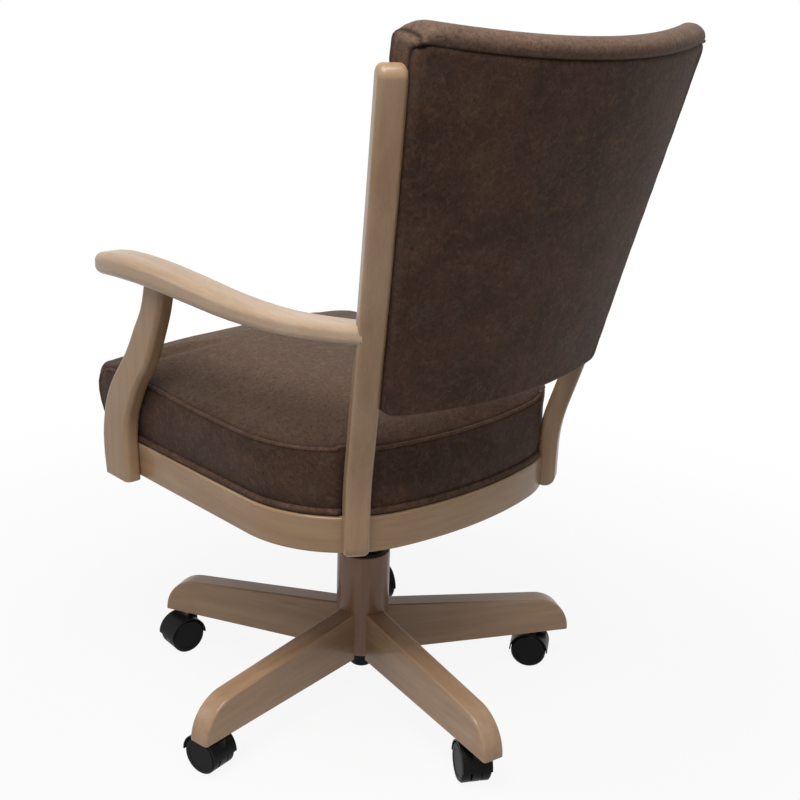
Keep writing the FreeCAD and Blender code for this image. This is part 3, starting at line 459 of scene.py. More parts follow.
def finish_node(node, surface):
    """Gives a carried-over node its material and smooth, crisp shading."""
    piece = NODES[node]
    for place in piece.material_slots:
        place.material = surface
    weld = piece.modifiers.new("joined", "WELD")
    weld.merge_threshold = 0.00001
    crisp = piece.modifiers.new("crisp", "EDGE_SPLIT")
    crisp.split_angle = math.radians(32.0)
    crisp.use_edge_sharp = False
    for face in piece.data.polygons:
        face.use_smooth = True


def linked(name, data):
    """A new object in the scene."""
    made = bpy.data.objects.new(name, data)
    bpy.context.scene.collection.objects.link(made)
    return made


def mesh_of(bm, name):
    """The mesh of a finished bmesh."""
    mesh = bpy.data.meshes.new(name)
    bm.to_mesh(mesh)
    bm.free()
    return mesh


def mesh_piece(name, mesh, body, surface):
    """A finished piece that rides on a body."""
    piece = linked(name, mesh)
    mesh.materials.clear()
    mesh.materials.append(surface)
    for face in mesh.polygons:
        face.use_smooth = True
    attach(piece, body)
    return piece


def evaluated(piece):
    """The mesh of an object with its modifiers worked in."""
    graph = bpy.context.evaluated_depsgraph_get()
    return bpy.data.meshes.new_from_object(piece.evaluated_get(graph), depsgraph=graph)


def with_modifier(mesh, kind, settings):
    """A mesh with one modifier worked in."""
    stand = linked("stand", mesh)
    tool = stand.modifiers.new("tool", kind)
    for key, value in settings.items():
        setattr(tool, key, value)
    bpy.context.view_layer.update()
    made = evaluated(stand)
    bpy.data.objects.remove(stand)
    return made


def spun(bm, geom, centre, degrees, steps, closed):
    """Turns points or edges about an upright axis, and gives the last copy."""
    return bmesh.ops.spin(
        bm, geom=geom, cent=centre, axis=(0.0, 0.0, 1.0), dvec=ORIGIN,
        angle=math.radians(degrees), steps=steps, use_merge=closed, use_normal_flip=False,
        use_duplicate=False,
    )["geom_last"]


def rounded(bm, geom, offset, segments, affect="EDGES"):
    """Rounds edges, or corners of an outline."""
    bmesh.ops.bevel(
        bm, geom=geom, offset=offset, offset_type="OFFSET", segments=segments, profile=0.5,
        affect=affect, material=-1,
    )


def moved(bm, verts, step):
    """Moves points by a step."""
    bmesh.ops.translate(bm, vec=step, verts=verts)


def outward(bm):
    """Turns every face outward."""
    bmesh.ops.recalc_face_normals(bm, faces=bm.faces[:])


def welded(bm):
    """Joins points that lie in one place."""
    bmesh.ops.remove_doubles(bm, verts=bm.verts[:], dist=WELD)


def only(kind, parts):
    """The points, edges or faces among the parts that an operator gives."""
    return [part for part in parts if isinstance(part, kind)]


class Pen:
    """Draws a flat outline in a bmesh, one run after another."""

    def __init__(self, bm, x, y):
        self.bm = bm
        self.tip = bmesh.ops.create_vert(bm, co=(x, y, 0.0))["vert"][0]

    def line(self, x, y):
        fresh = bmesh.ops.extrude_vert_indiv(self.bm, verts=[self.tip])["verts"]
        step = Vector((x, y, 0.0)) - self.tip.co
        moved(self.bm, fresh, step)
        self.tip = fresh[0]

    def arc(self, x, y, degrees, steps):
        turned = spun(self.bm, [self.tip], (x, y, 0.0), degrees, steps, False)
        self.tip = only(bmesh.types.BMVert, turned)[0]


def mirrored(bm):
    """Mirrors half an outline across the middle."""
    half = bm.verts[:] + bm.edges[:]
    bmesh.ops.mirror(bm, geom=half, matrix=Matrix(), merge_dist=WELD, axis="X")
    welded(bm)


def mirrored_face(bm):
    """Mirrors half an outline and fills it."""
    mirrored(bm)
    return bmesh.ops.contextual_create(bm, geom=bm.edges[:])["faces"][0]


def face_box(face):
    """Lowest and highest x and y of a face."""
    xs = [vert.co.x for vert in face.verts]
    ys = [vert.co.y for vert in face.verts]
    return min(xs), max(xs), min(ys), max(ys)


def fitted(bm, face, height, half_width, front, rear):
    """Brings a face level at a height and to a plan size."""
    left, right, low, high = face_box(face)
    centre = Vector((0.0, (low + high) / 2.0, 0.0))
    sizes = (2.0 * half_width / (right - left), (rear - front) / (high - low), 0.0)
    verts = face.verts[:]
    bmesh.ops.scale(bm, vec=sizes, verts=verts, space=Matrix.Translation(-centre))
    rise = Vector((0.0, (front + rear) / 2.0 - centre.y, height))
    moved(bm, verts, rise)


def grown_face(bm, face):
    """The new face of a flat face that is extruded."""
    grown = bmesh.ops.extrude_face_region(bm, geom=[face])["geom"]
    return only(bmesh.types.BMFace, grown)[0]


POST_FOOT = Vector((0.1931, 0.1990))
POST_OUT = Vector((math.sin(math.radians(31.0)), math.cos(math.radians(31.0))))
POST_SIDE = Vector((POST_OUT.y, -POST_OUT.x))
POST_HALF = 0.0165
POST_DEPTH = 0.029
POST_STRAIGHT = 0.41  # height where a rear post begins to lean out
POST_BEND = 2.4
POST_NEAR = 0.007
LIP_SHIFT = 0.0025  # how far a notch narrows at its mouth
LIP_ROUND = 0.003
NOTCH_FILL = 0.009
NOTCH_RISE = 0.009
FRONT_RISE = 0.006  # how far the piped edge rises to the front
FRONT_RUN = 0.17
WELT_END = 0.03
ARM_POST_REAR = -0.14
PIPING_TURN = math.radians(24.0)
CROWN_INSET = 0.13  # how far in from the piped edge the crown is full
CROWN_STEPS = 9
NOTCH_CLOSED = 0.06  # inset at which a notch has closed
SEAT_SIDES = (  # share of the height; how far out sides, front and rear stand, in mm
    (0.08, -4.6, 4.6, -4.6), (0.24, -1.0, -3.0, -2.0), (0.6, 2.0, -11.0, -4.0),
    (0.9, 3.0, -7.0, -7.0), (1.0, 3.0, 3.0, -9.0),
)


def post_shift(height):
    """How far a rear post has leaned out at a height beside the cushion."""
    return POST_BEND * max(0.0, height - POST_STRAIGHT) ** 2


def bearing(point, centre):
    """Direction from a centre to a point, in degrees."""
    return math.degrees(math.atan2(point.y - centre.y, point.x - centre.x))


def out_to_bend(point, centre, reach):
    """Where a line from a point, along the post's depth, leaves the corner's bend."""
    ends = intersect_line_sphere_2d(point, point + POST_OUT, centre, reach, False)
    return max(ends, key=lambda end: end.dot(POST_OUT))


def seat_outline(bm, seat, clear):
    """The seat's plan outline, with a notch round each rear post."""
    corner = Vector((seat.corner_x, seat.corner_y))
    reach = seat.half_width - seat.corner_x
    inner = POST_FOOT - POST_SIDE * (POST_HALF + clear) - POST_OUT * (POST_DEPTH + clear)
    outer = POST_FOOT + POST_SIDE * (POST_HALF + clear) - POST_OUT * (POST_DEPTH + clear)
    inner_end = out_to_bend(inner, corner, reach) + POST_SIDE * LIP_SHIFT
    outer_end = out_to_bend(outer, corner, reach) - POST_SIDE * LIP_SHIFT
    bow_y = seat.rear - seat.rear_bow
    tangent = bearing(corner, Vector((0.0, bow_y)))
    layer = bm.verts.layers.int.new("notch")
    pen = Pen(bm, 0.0, seat.rear)
    pen.arc(0.0, bow_y, tangent - 90.0, 8)
    pen.arc(corner.x, corner.y, bearing(inner_end, corner) - tangent, 5)
    lips = [pen.tip]
    pen.line(inner.x, inner.y)
    pen.tip[layer] = 1
    pen.line(outer.x, outer.y)
    pen.tip[layer] = 1
    pen.line(outer_end.x, outer_end.y)
    pen.tip[layer] = 0
    lips.append(pen.tip)
    pen.arc(corner.x, corner.y, -bearing(outer_end, corner), 14)
    nose = seat.front + seat.front_corner
    for step in range(1, 9):
        share = step / 8.0
        pen.line(seat.half_width, seat.corner_y + share * (nose - seat.corner_y))
    pen.arc(seat.half_width - seat.front_corner, nose, -90.0, 6)
    pen.line(0.1, seat.front)
    pen.line(0.0, seat.front)
    rounded(bm, lips, LIP_ROUND, 3, "VERTICES")
    return mirrored_face(bm)


def moved_notch(bm, face, outward, rise):
    """Moves the inner points of both notches along their posts' depth, and up."""
    layer = bm.verts.layers.int["notch"]
    for side in (-1.0, 1.0):
        verts = [v for v in face.verts if v[layer] and side * v.co.x > 0.0]
        step = (side * POST_OUT.x * outward, POST_OUT.y * outward, rise)
        moved(bm, verts, step)


def pressed(bm, face, limit):
    """Presses the sides of a face in where the arm posts stand."""
    for vert in face.verts:
        over = abs(vert.co.x) - limit
        if vert.co.y < ARM_POST_REAR and over > 0.0:
            step = (-math.copysign(over, vert.co.x), 0.0, 0.0)
            moved(bm, [vert], step)


def mark_seams(bm, edges):
    """Marks some edges, and no others, as sewn seams."""
    for edge in bm.edges:
        edge.seam = edge in edges


def piping_line(seat, face):
    """The piped edge along the sides and the rear, turned down at the front corners."""
    loop = [vert.co.copy() for vert in face.verts]
    nose = seat.front + seat.front_corner
    start = next(k for k, spot in enumerate(loop) if spot.y < nose and loop[k - 1].y >= nose)
    kept = [spot for spot in loop[start:] + loop[:start] if spot.y >= nose]
    ends = []
    for share, side, tip, _ in SEAT_SIDES[:-1]:
        x = seat.half_width + side * MM - seat.front_corner * (1.0 - math.cos(PIPING_TURN))
        y = nose + tip * MM - seat.front_corner * math.sin(PIPING_TURN)
        ends.append(Vector((x, y, seat.base + share * (seat.welt - seat.base))))
    flip = math.copysign(1.0, kept[0].x)
    first = [Vector((flip * p.x, p.y, p.z)) for p in ends]
    last = [Vector((-flip * p.x, p.y, p.z)) for p in ends]
    return first + kept + last[::-1]


def by_post(spot):
    """Tells if a point lies close to a rear post."""
    off = Vector((abs(spot.x), spot.y)) - POST_FOOT
    inward = off.dot(POST_OUT) + POST_DEPTH - post_shift(spot.z)
    return abs(off.dot(POST_SIDE)) < POST_HALF + POST_NEAR and inward > -POST_NEAR


def off_posts(points, clear):
    """Points moved out of the rear posts, and some room beside them."""
    wide, deep = POST_HALF + clear, POST_DEPTH + clear
    for spot in points:
        off = Vector((abs(spot.x), spot.y)) - POST_FOOT
        side, out = off.dot(POST_SIDE), off.dot(POST_OUT)
        aside, inward = wide - abs(side), out + deep - post_shift(spot.z)
        if aside > 0.0 and inward > 0.0:
            push = POST_SIDE * math.copysign(aside, side) if aside < inward else -POST_OUT * inward
            spot.x += push.x * math.copysign(1.0, spot.x)
            spot.y += push.y


def seat_shell(seat):
    """The seat cushion before it swells, and the line of its piped edge."""
    bm = bmesh.new()
    face = seat_outline(bm, seat, seat.notch_gap)
    wide, front, rear = seat.half_width, seat.front, seat.rear
    tuck = seat.roll_radius
    fitted(bm, face, seat.base, wide - tuck, front + tuck, rear - tuck)
    tall = seat.welt - seat.base
    filled = 0.0
    for share, side, nose, tail in SEAT_SIDES:
        face = grown_face(bm, face)
        fitted(
            bm, face, seat.base + share * tall, wide + side * MM, front + nose * MM,
            rear + tail * MM,
        )
        pressed(bm, face, seat.arm_limit)
        fill = min(NOTCH_FILL, post_shift(seat.base + share * tall))
        moved_notch(bm, face, fill - filled, 0.0)
        filled = fill
    moved_notch(bm, face, 0.0, NOTCH_RISE)
    for vert in face.verts:
        ahead = unit(-vert.co.y / FRONT_RUN)
        moved(bm, [vert], (0.0, 0.0, FRONT_RISE * ahead))
    line = piping_line(seat, face)
    welt = {edge for edge in face.edges if min(v.co.y for v in edge.verts) > front + WELT_END}
    _, right, low, high = face_box(face)
    for step in range(1, CROWN_STEPS + 1):
        inset = CROWN_INSET * (step / CROWN_STEPS) ** 1.35
        share = 1.0 - (1.0 - inset / CROWN_INSET) ** 2.4
        face = grown_face(bm, face)
        fitted(
            bm, face, seat.welt + share * seat.crown, right - inset, low + inset, high - inset
        )
        fill = max(filled, POST_DEPTH * min(1.0, inset / NOTCH_CLOSED))
        moved_notch(bm, face, fill - filled, 0.0)
        filled = fill
    outward(bm)
    mark_seams(bm, welt)
    return bm, line


def seam_samples(bm):
    """Points close together along every marked seam."""
    points = []
    for edge in bm.edges:
        if edge.seam:
            start, end = edge.verts[0].co, edge.verts[1].co
            count = max(1, int((end - start).length / 0.002))
            points += [start.lerp(end, k / count) for k in range(count + 1)]
    return points


def tree_of(points):
    """A search tree of points."""
    tree = KDTree(len(points))
    for index, point in enumerate(points):
        tree.insert(point, index)
    tree.balance()
    return tree


def laid_on(mesh, points):
    """Points brought to the nearest places of a mesh."""
    sides = [face.vertices for face in mesh.polygons]
    skin = BVHTree.FromPolygons([vert.co for vert in mesh.vertices], sides)
    return [skin.find_nearest(point)[0] for point in points]


def swell(mesh, held, reach, pressure):
    """Blows a closed shell up as cloth, with some points held and none moved past reach."""
    start = [vert.co.copy() for vert in mesh.vertices]
    pad = linked("pad", mesh)
    group = pad.vertex_groups.new(name="held")
    group.add([i for i, fixed in enumerate(held) if fixed], 1.0, "REPLACE")
    cloth = pad.modifiers.new("cloth", "CLOTH")
    cloth.settings.quality = 5
    cloth.settings.mass = 0.4
    cloth.settings.tension_stiffness = 14.0
    cloth.settings.compression_stiffness = 14.0
    cloth.settings.shear_stiffness = 6.0
    cloth.settings.bending_stiffness = 1.2
    cloth.settings.use_pressure = True
    cloth.settings.uniform_pressure_force = pressure
    cloth.settings.vertex_group_mass = "held"
    cloth.settings.effector_weights.gravity = 0.0
    cloth.collision_settings.use_collision = False
    for moment in range(1, 21):
        bpy.context.scene.frame_set(moment)
    made = evaluated(pad)
    bpy.data.objects.remove(pad)
    bpy.context.scene.frame_set(1)
    for vert, home in zip(made.vertices, start):
        step = vert.co - home
        if step.length > 0.0:
            vert.co = home + step * (reach * math.tanh(step.length / reach) / step.length)
    return made


def draw_in(mesh, tree, depth, width):
    """Sinks a sewn line into a mesh and notes how near each point is to it."""
    near = [tree.find(vert.co)[2] for vert in mesh.vertices]
    normals = [vert.normal.copy() for vert in mesh.vertices]
    for vert, gap, normal in zip(mesh.vertices, near, normals):
        vert.co -= normal * (depth * math.exp(-((gap / width) ** 2)))
    marks = mesh.attributes.new("seam", "FLOAT", "POINT")
    marks.data.foreach_set("value", [math.exp(-((gap / (1.1 * width)) ** 2)) for gap in near])


def upholstered(bm, voxel, reach, pressure, rests, bend=None, depth=0.0012, width=0.0035):
    """Turns a closed shell with marked seams into a swollen, sewn cover."""
    bend = bend or (lambda point: point)
    seams = [bend(point) for point in seam_samples(bm)]
    mesh = with_modifier(mesh_of(bm, "shell"), "REMESH", {"mode": "VOXEL", "voxel_size": voxel})
    mesh = with_modifier(mesh, "SMOOTH", {"factor": 0.5, "iterations": 3})
    resting = [rests(vert.co) for vert in mesh.vertices]
    for vert in mesh.vertices:
        vert.co = bend(vert.co)
    tree = tree_of(laid_on(mesh, seams))
    held = [
        rest or tree.find(vert.co)[2] < 0.8 * voxel
        for rest, vert in zip(resting, mesh.vertices)
    ]
    mesh = swell(mesh, held, reach, pressure)
    mesh = with_modifier(mesh, "SUBSURF", {"levels": 1, "render_levels": 1})
    draw_in(mesh, tree_of(laid_on(mesh, seams)), depth, width)
    return mesh


def piped(points, radius, closed):
    """A round piping through points."""
    curve = bpy.data.curves.new("piping", "CURVE")
    curve.dimensions = "3D"
    curve.bevel_depth = radius
    curve.bevel_resolution = 3
    curve.use_fill_caps = not closed
    curve.resolution_u = 2
    run = curve.splines.new("NURBS")
    run.points.add(len(points) - 1)
    for knot, point in zip(run.points, points):
        knot.co = (point.x, point.y, point.z, 1.0)
    run.use_cyclic_u = closed
    run.use_endpoint_u = not closed
    run.order_u = 3
    stand = linked("piping", curve)
    bpy.context.view_layer.update()
    mesh = evaluated(stand)
    bpy.data.objects.remove(stand)
    return mesh


ROLL_SPAN = 0.018  # height over which the ends of the top roll round off
END_SHARE = 0.92  # how far into its rounding an end goes
LEVEL_SHARE = 0.4  # where across the back the rise of the ends is nought
TUCK_SPAN = 0.004  # height over which the roll is tucked in at its seam
SEAM_TUCK = 0.014
ROLL_TUCK = 0.01
FILL_REACH = 0.012  # how deep the filling of the rear corners reaches
FILL_START = 0.0003
FILL_SPAN = 0.0025
FILL_INSET = 0.002


def back_place(back):
    """Gives the function that rounds the flat back pad's ends, leans and bows it."""
    cosine, sine = math.cos(back.lean), math.sin(back.lean)
    turn = back.end_round

    def place(point):
        share = unit((point.y - back.seam) / ROLL_SPAN)
        past = min(END_SHARE * turn, max(0.0, abs(point.x) - back_half(back, point.y) + turn))
        drop = turn - math.sqrt(turn ** 2 - past ** 2)
        rise = back.end_rise * ((point.x / back.high_half) ** 2 - LEVEL_SHARE)
        up = point.y - drop * share + rise * unit(point.y / back.height)
        deep = math.sqrt(back.bow ** 2 - point.x ** 2) - back.bow + filled_corner(back, point)
        y = back.foot_y + deep * cosine + up * sine
        z = back.foot_z - deep * sine + up * cosine
        tuck = unit((point.y - back.seam + TUCK_SPAN / 2.0) / TUCK_SPAN)
        return Vector((point.x * (1.0 - SEAM_TUCK * tuck - ROLL_TUCK * share), y, z))

    return place


def filled_corner(back, point):
    """Depth of a point of the pad, brought to the rear outside the panel's round corners."""
    aside = abs(point.x) - back_half(back, point.y) + back.corner
    above = point.y - back.seam + back.corner
    recess = -back.panel_thick
    if min(aside, above) < 0.0 or point.y > back.seam + TUCK_SPAN or point.z < recess - FILL_REACH:
        return point.z
    share = unit((math.hypot(aside, above) - back.corner - FILL_START) / FILL_SPAN)
    rear = recess + share * (back.panel_thick - FILL_INSET)
    near = min(1.0, 1.0 - (recess - point.z) / FILL_REACH)
    return max(point.z, point.z + near * (rear - max(point.z, recess)))


def back_half(back, height):
    """Half the back's width at a height up the pad."""
    share = min(height, back.seam) / back.height
    return back.low_half + share * (back.high_half - back.low_half)


def back_shell(back):
    """The back pad before it swells: a slab with a roll along its top and a recessed rear."""
    bm = bmesh.new()
    top, seam, recess = back.roll_top, back.seam, back.panel_thick - 0.0005
    front_turn = 0.027
    rear_turn = 0.0145
    low_turn = 0.005
    foot_turn = 0.011
    pen = Pen(bm, recess, 0.0)
    pen.line(back.thick - foot_turn, 0.0)
    pen.arc(back.thick - foot_turn, foot_turn, 90.0, 4)
    pen.line(back.thick, top - front_turn)
    pen.arc(back.thick - front_turn, top - front_turn, 90.0, 16)
    pen.line(rear_turn, top)
    pen.arc(rear_turn, top - rear_turn, 90.0, 12)
    pen.line(0.0, seam + low_turn)
    pen.arc(low_turn, seam + low_turn, 90.0, 4)
    pen.line(recess, seam)
    welded(bm)
    face = bmesh.ops.contextual_create(bm, geom=bm.edges[:] + bm.verts[:])["faces"][0]
    far = grown_face(bm, face)
    wide = back.high_half
    moved(bm, far.verts[:], (0.0, 0.0, 2.0 * wide))
    moved(bm, bm.verts[:], (0.0, 0.0, -wide))
    quarter = Matrix.Rotation(QUARTER, 3, "Y")
    bmesh.ops.rotate(bm, cent=ORIGIN, matrix=quarter, verts=bm.verts[:])
    for vert in bm.verts:
        share = back_half(back, vert.co.y) / wide - 1.0
        moved(bm, [vert], (share * vert.co.x, 0.0, 0.0))
    outward(bm)
    ends = [side for side in bm.faces if len(side.verts) > 8]
    soft = [
        edge for side in ends for edge in side.edges
        if any(v.co.y > seam + 0.0001 or v.co.z < -recess - 0.0001 for v in edge.verts)
    ]
    rounded(bm, soft, 0.005, 3)
    ends = [side for side in bm.faces if len(side.verts) > 8]
    mark_seams(bm, {edge for side in ends for edge in side.edges})
    return bm


def panel_shell(back):
    """The rear panel before it swells: a pad with soft edges over the whole rear."""
    bm = bmesh.new()
    low_round, high_round = 0.008, back.corner
    low, high = -0.0015, back.seam + 0.0015
    slope = (back.high_half - back.low_half) / back.height
    tilt = math.atan(slope)
    pen = Pen(bm, 0.0, low)
    pen.line(back_half(back, low) - 1.05 * low_round, low)
    pen.arc(pen.tip.co.x, low + low_round, 90.0 - math.degrees(tilt), 4)
    end_x = back_half(back, high) - (slope + 0.95) * high_round
    side_x = end_x + high_round * math.cos(tilt)
    pen.line(side_x, high - high_round - high_round * math.sin(tilt))
    pen.arc(end_x, high - high_round, 90.0 + math.degrees(tilt), 5)
    pen.line(0.0, high)
    face = mirrored_face(bm)
    moved(bm, bm.verts[:], (0.0, 0.0, -back.panel_thick))
    rear = grown_face(bm, face)
    moved(bm, rear.verts[:], (0.0, 0.0, back.panel_thick - 0.001))
    outward(bm)
    rounded(bm, rear.edges[:], 0.0055, 4)
    for vert in bm.verts:
        share = (1.0 + vert.co.z / back.panel_thick) * (1.0 - vert.co.y / high)
        moved(bm, [vert], (0.0, 0.0, share * back.lean_out))
    lowest = min(vert.co.z for vert in bm.verts) + 0.0002
    mark_seams(bm, {e for e in bm.edges if all(v.co.z < lowest for v in e.verts)})
    return bm


class ARMCHAIR_OT_wood(bpy.types.Operator):
    """Finish the washed maple, the inner frame and the seat board"""

    bl_idname = "armchair.wood"
    bl_label = "Wood"

    def execute(self, context):
        finish = context.scene.armchair_finish
        show = (finish.maple, finish.maple_dark)
        pale = (finish.arm_maple, finish.arm_dark)
        base = (finish.base_maple, finish.base_dark)
        middle = (finish.hub_maple, finish.hub_dark)
        upright = along_straight((0.0, QUARTER, 0.0))
        fore = along_straight((0.0, 0.0, QUARTER))
        across = along_straight(ORIGIN)
        leaning = along_straight((math.radians(-12.0), QUARTER, 0.0))
        for index in range(1, 6):
            turn = math.radians(7.6 + 72.0 * (index - 1))
            path = along_straight((0.0, 0.0, turn))
            surface = wood(f"leg_maple_{index}", *base, path, (0.7 * index, 0.3, 0.1), 0.25)
            finish_node(f"base_leg_{index}", surface)
        finish_node("base_hub", wood("hub_maple", *middle, upright, (0.2, 0.9, 0.4)))
        for side, shift in (("left", 0.0), ("right", 1.7)):
            finish_node(f"rear_post_{side}", wood(
                f"rear_post_maple_{side}", *show, leaning, (shift, 0.4, 0.2)))
            finish_node(f"arm_post_{side}", wood(
                f"arm_post_maple_{side}", *show, upright, (0.3, shift, 0.6)))
            finish_node(f"arm_{side}", wood(
                f"arm_maple_{side}", *pale, fore, (0.1, shift, 0.8), 0.12, 0.25))
            finish_node(f"side_rail_{side}", wood(
                f"side_rail_maple_{side}", *show, along_side_rail, (shift, 0.5, 0.9)))
        finish_node("rear_rail", wood("rear_rail_maple", *show, along_rear_rail, (0.9, 0.1, 0.5)))
        beech = (finish.beech, finish.beech_dark)
        inner = wood("inner_beech", *beech, across, (0.4, 0.2, 0.3), 0.3, 0.0)
        for node in ("front_rail", "corner_blocks", "leg_dowels"):
            finish_node(node, inner)
        ply = wood("birch_ply", *beech, fore, (0.6, 0.8, 0.1), 0.3, 0.0)
        for node in ("seat_board", "back_board"):
            finish_node(node, ply)
        return {"FINISHED"}


class ARMCHAIR_OT_fittings(bpy.types.Operator):
    """Finish casters, lift, tilt control, bolts and caps"""

    bl_idname = "armchair.fittings"
    bl_label = "Fittings"

    def execute(self, context):
        finish = context.scene.armchair_finish
        moulded = plastic("moulded_black", finish.plastic, 0.34, 0.10)
        tyre = plastic("wheel_black", finish.plastic, 0.42, 0.16)
        nylon = plastic("black_nylon", tint(34, 34, 35), 0.45, 0.12)
        coated = powder_coat("black_powder_coat", finish.powder)
        zinc = bright_steel("bright_zinc", finish.zinc, 0.3)
        polished = bright_steel("polished_steel", tint(206, 207, 208), 0.16)
        for index in range(1, 6):
            finish_node(f"caster_{index}_hood", moulded)
            finish_node(f"caster_{index}_stem", coated)
            finish_node(f"caster_{index}_wheels", tyre)
        for surface, nodes in (
            (moulded, "hub_top_ring hub_bottom_cap lever_grip tension_knob"),
            (nylon, "lift_guide_bush tilt_bushes"),
            (coated, "tilt_housing seat_plate lift_lever lift_outer_tube lift_cylinder"),
            (zinc, "caster_sockets thrust_bearing tilt_axle seat_plate_bolts draw_pin draw_bolt"),
            (zinc, "frame_bolts"),
            (polished, "lift_rod release_button"),
        ):
            for node in nodes.split():
                finish_node(node, surface)
        return {"FINISHED"}


class ARMCHAIR_OT_buffer(bpy.types.Operator):
    """Build the rubber buffer at one fixed length; the real buffer shortens as the chair tilts"""

    bl_idname = "armchair.buffer"
    bl_label = "Tilt buffer"

    def execute(self, context):
        low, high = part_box("tilt_buffer")
        tall, radius = high[2] - low[2], (high[0] - low[0]) / 2.0
        bore, bulge, steps = 0.0065, 0.003, 12
        bm = bmesh.new()
        pen = Pen(bm, bore, 0.0)
        for step in range(steps + 1):
            share = step / steps
            pen.line(radius - bulge * (2.0 * share - 1.0) ** 2, share * tall)
        pen.line(bore, tall)
        pen.line(bore, 0.0)
        welded(bm)
        upright = Matrix.Rotation(QUARTER, 3, "X")
        bmesh.ops.rotate(bm, cent=ORIGIN, matrix=upright, verts=bm.verts[:])
        spun(bm, bm.verts[:] + bm.edges[:], ORIGIN, 360.0, 48, True)
        outward(bm)
        rims = [edge for edge in bm.edges if edge.calc_face_angle(0.0) > math.radians(40.0)]
        rounded(bm, rims, 0.0012, 3)
        middle = ((low[0] + high[0]) / 2.0, (low[1] + high[1]) / 2.0)
        moved(bm, bm.verts[:], (*middle, low[2]))
        mesh = mesh_of(bm, "tilt_buffer_rubber")
        buffer = mesh_piece("tilt_buffer_rubber", mesh, "lift", rubber("black_rubber"))
        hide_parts("tilt_buffer")
        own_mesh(buffer)
        return {"FINISHED"}


class ARMCHAIR_OT_seat_cushion(bpy.types.Operator):
    """Build the boxed seat cushion with its piped edge and its roll"""

    bl_idname = "armchair.seat_cushion"
    bl_label = "Seat cushion"

    def execute(self, context):
        seat = context.scene.armchair_seat
        finish = context.scene.armchair_finish
        bm, line = seat_shell(seat)
        floor = seat.base + 0.006
        mesh = upholstered(
            bm, 0.006, 0.009, 6.0, lambda spot: spot.z < floor or by_post(spot)
        )
        off_posts([vert.co for vert in mesh.vertices], 0.0004)
        # The seat hide is a darker copy (0.78), partly painted shade on its boxing, and paler above
        # the piped edge as painted light from above; behind y 0.15 to 0.2 m it stays darker as
        # painted shadow under the back.
        crest = (seat.welt - 0.002, seat.welt + 0.02)
        hide = leather("seat_leather", finish, 0.78, crest, 0.5, (0.15, 0.2))
        pad = mesh_piece("seat_cushion_cover", mesh, "seat", hide)
        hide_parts("seat_cushion")
        piping_hide = leather("piping_leather", finish, 1.15)
        line = laid_on(mesh, line)
        off_posts(line, seat.welt_radius + 0.0003)
        piping = piped(line, seat.welt_radius, False)
        piping.attributes.new("seam", "FLOAT", "POINT")
        mesh_piece("seat_piping", piping, "seat", piping_hide)
        self.add_roll(seat, finish)
        return {"FINISHED"}

    def add_roll(self, seat, finish):
        bm = bmesh.new()
        thick = seat.roll_radius
        face = seat_outline(bm, seat, seat.notch_gap + 0.6 * thick)
        inset = thick - 0.001
        fitted(
            bm, face, seat.rail_top + thick + 0.0004, seat.half_width - inset,
            seat.front + inset, seat.rear - inset,
        )
        line = [vert.co.copy() for vert in face.verts]
        bm.free()
        off_posts(line, thick + 0.0003)
        mesh = piped(line, thick, True)
        mesh.attributes.new("seam", "FLOAT", "POINT")
        hide = leather("roll_leather", finish, 1.0)
        mesh_piece("seat_roll", mesh, "seat", hide)


class ARMCHAIR_OT_front_cover(bpy.types.Operator):
    """Build the leather that wraps the front rail"""

    bl_idname = "armchair.front_cover"
    bl_label = "Front cover"

    def execute(self, context):
        finish = context.scene.armchair_finish
        low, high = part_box("front_cover")
        bm = bmesh.new()
        depth = 0.0028
        wide = high[0] - depth
        nose = low[1] + depth
        turn = 0.034 - depth
        pen = Pen(bm, 0.0, nose)
        pen.line(wide - turn, nose)
        pen.arc(wide - turn, nose + turn, 90.0, 8)
        pen.line(wide, high[1] - 0.0002)
        mirrored(bm)
        moved(bm, bm.verts[:], (0.0, 0.0, low[2] + 0.0002))
        for share in (0.1, 0.2, 0.4, 0.2, 0.1):
            rim = [edge for edge in bm.edges if edge.is_wire or edge.is_boundary]
            top = max(vert.co.z for edge in rim for vert in edge.verts)
            crest = [e for e in rim if all(v.co.z > top - 0.0001 for v in e.verts)]
            grown = bmesh.ops.extrude_edge_only(bm, edges=crest)["geom"]
            fresh = only(bmesh.types.BMVert, grown)
            step = share * (high[2] - low[2] - 0.0004)
            moved(bm, fresh, (0.0, 0.0, step))
        outward(bm)
        mesh = mesh_of(bm, "front_cover_leather")
        mesh = with_modifier(mesh, "SOLIDIFY", {"thickness": depth - 0.0002, "offset": 1.0})
        mesh = with_modifier(mesh, "BEVEL", {"width": 0.0011, "segments": 3})
        mesh.attributes.new("seam", "FLOAT", "POINT")
        hide = leather("front_cover_hide", finish, 1.0)
        cover = mesh_piece("front_cover_leather", mesh, "seat", hide)
        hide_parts("front_cover")
        return {"FINISHED"}


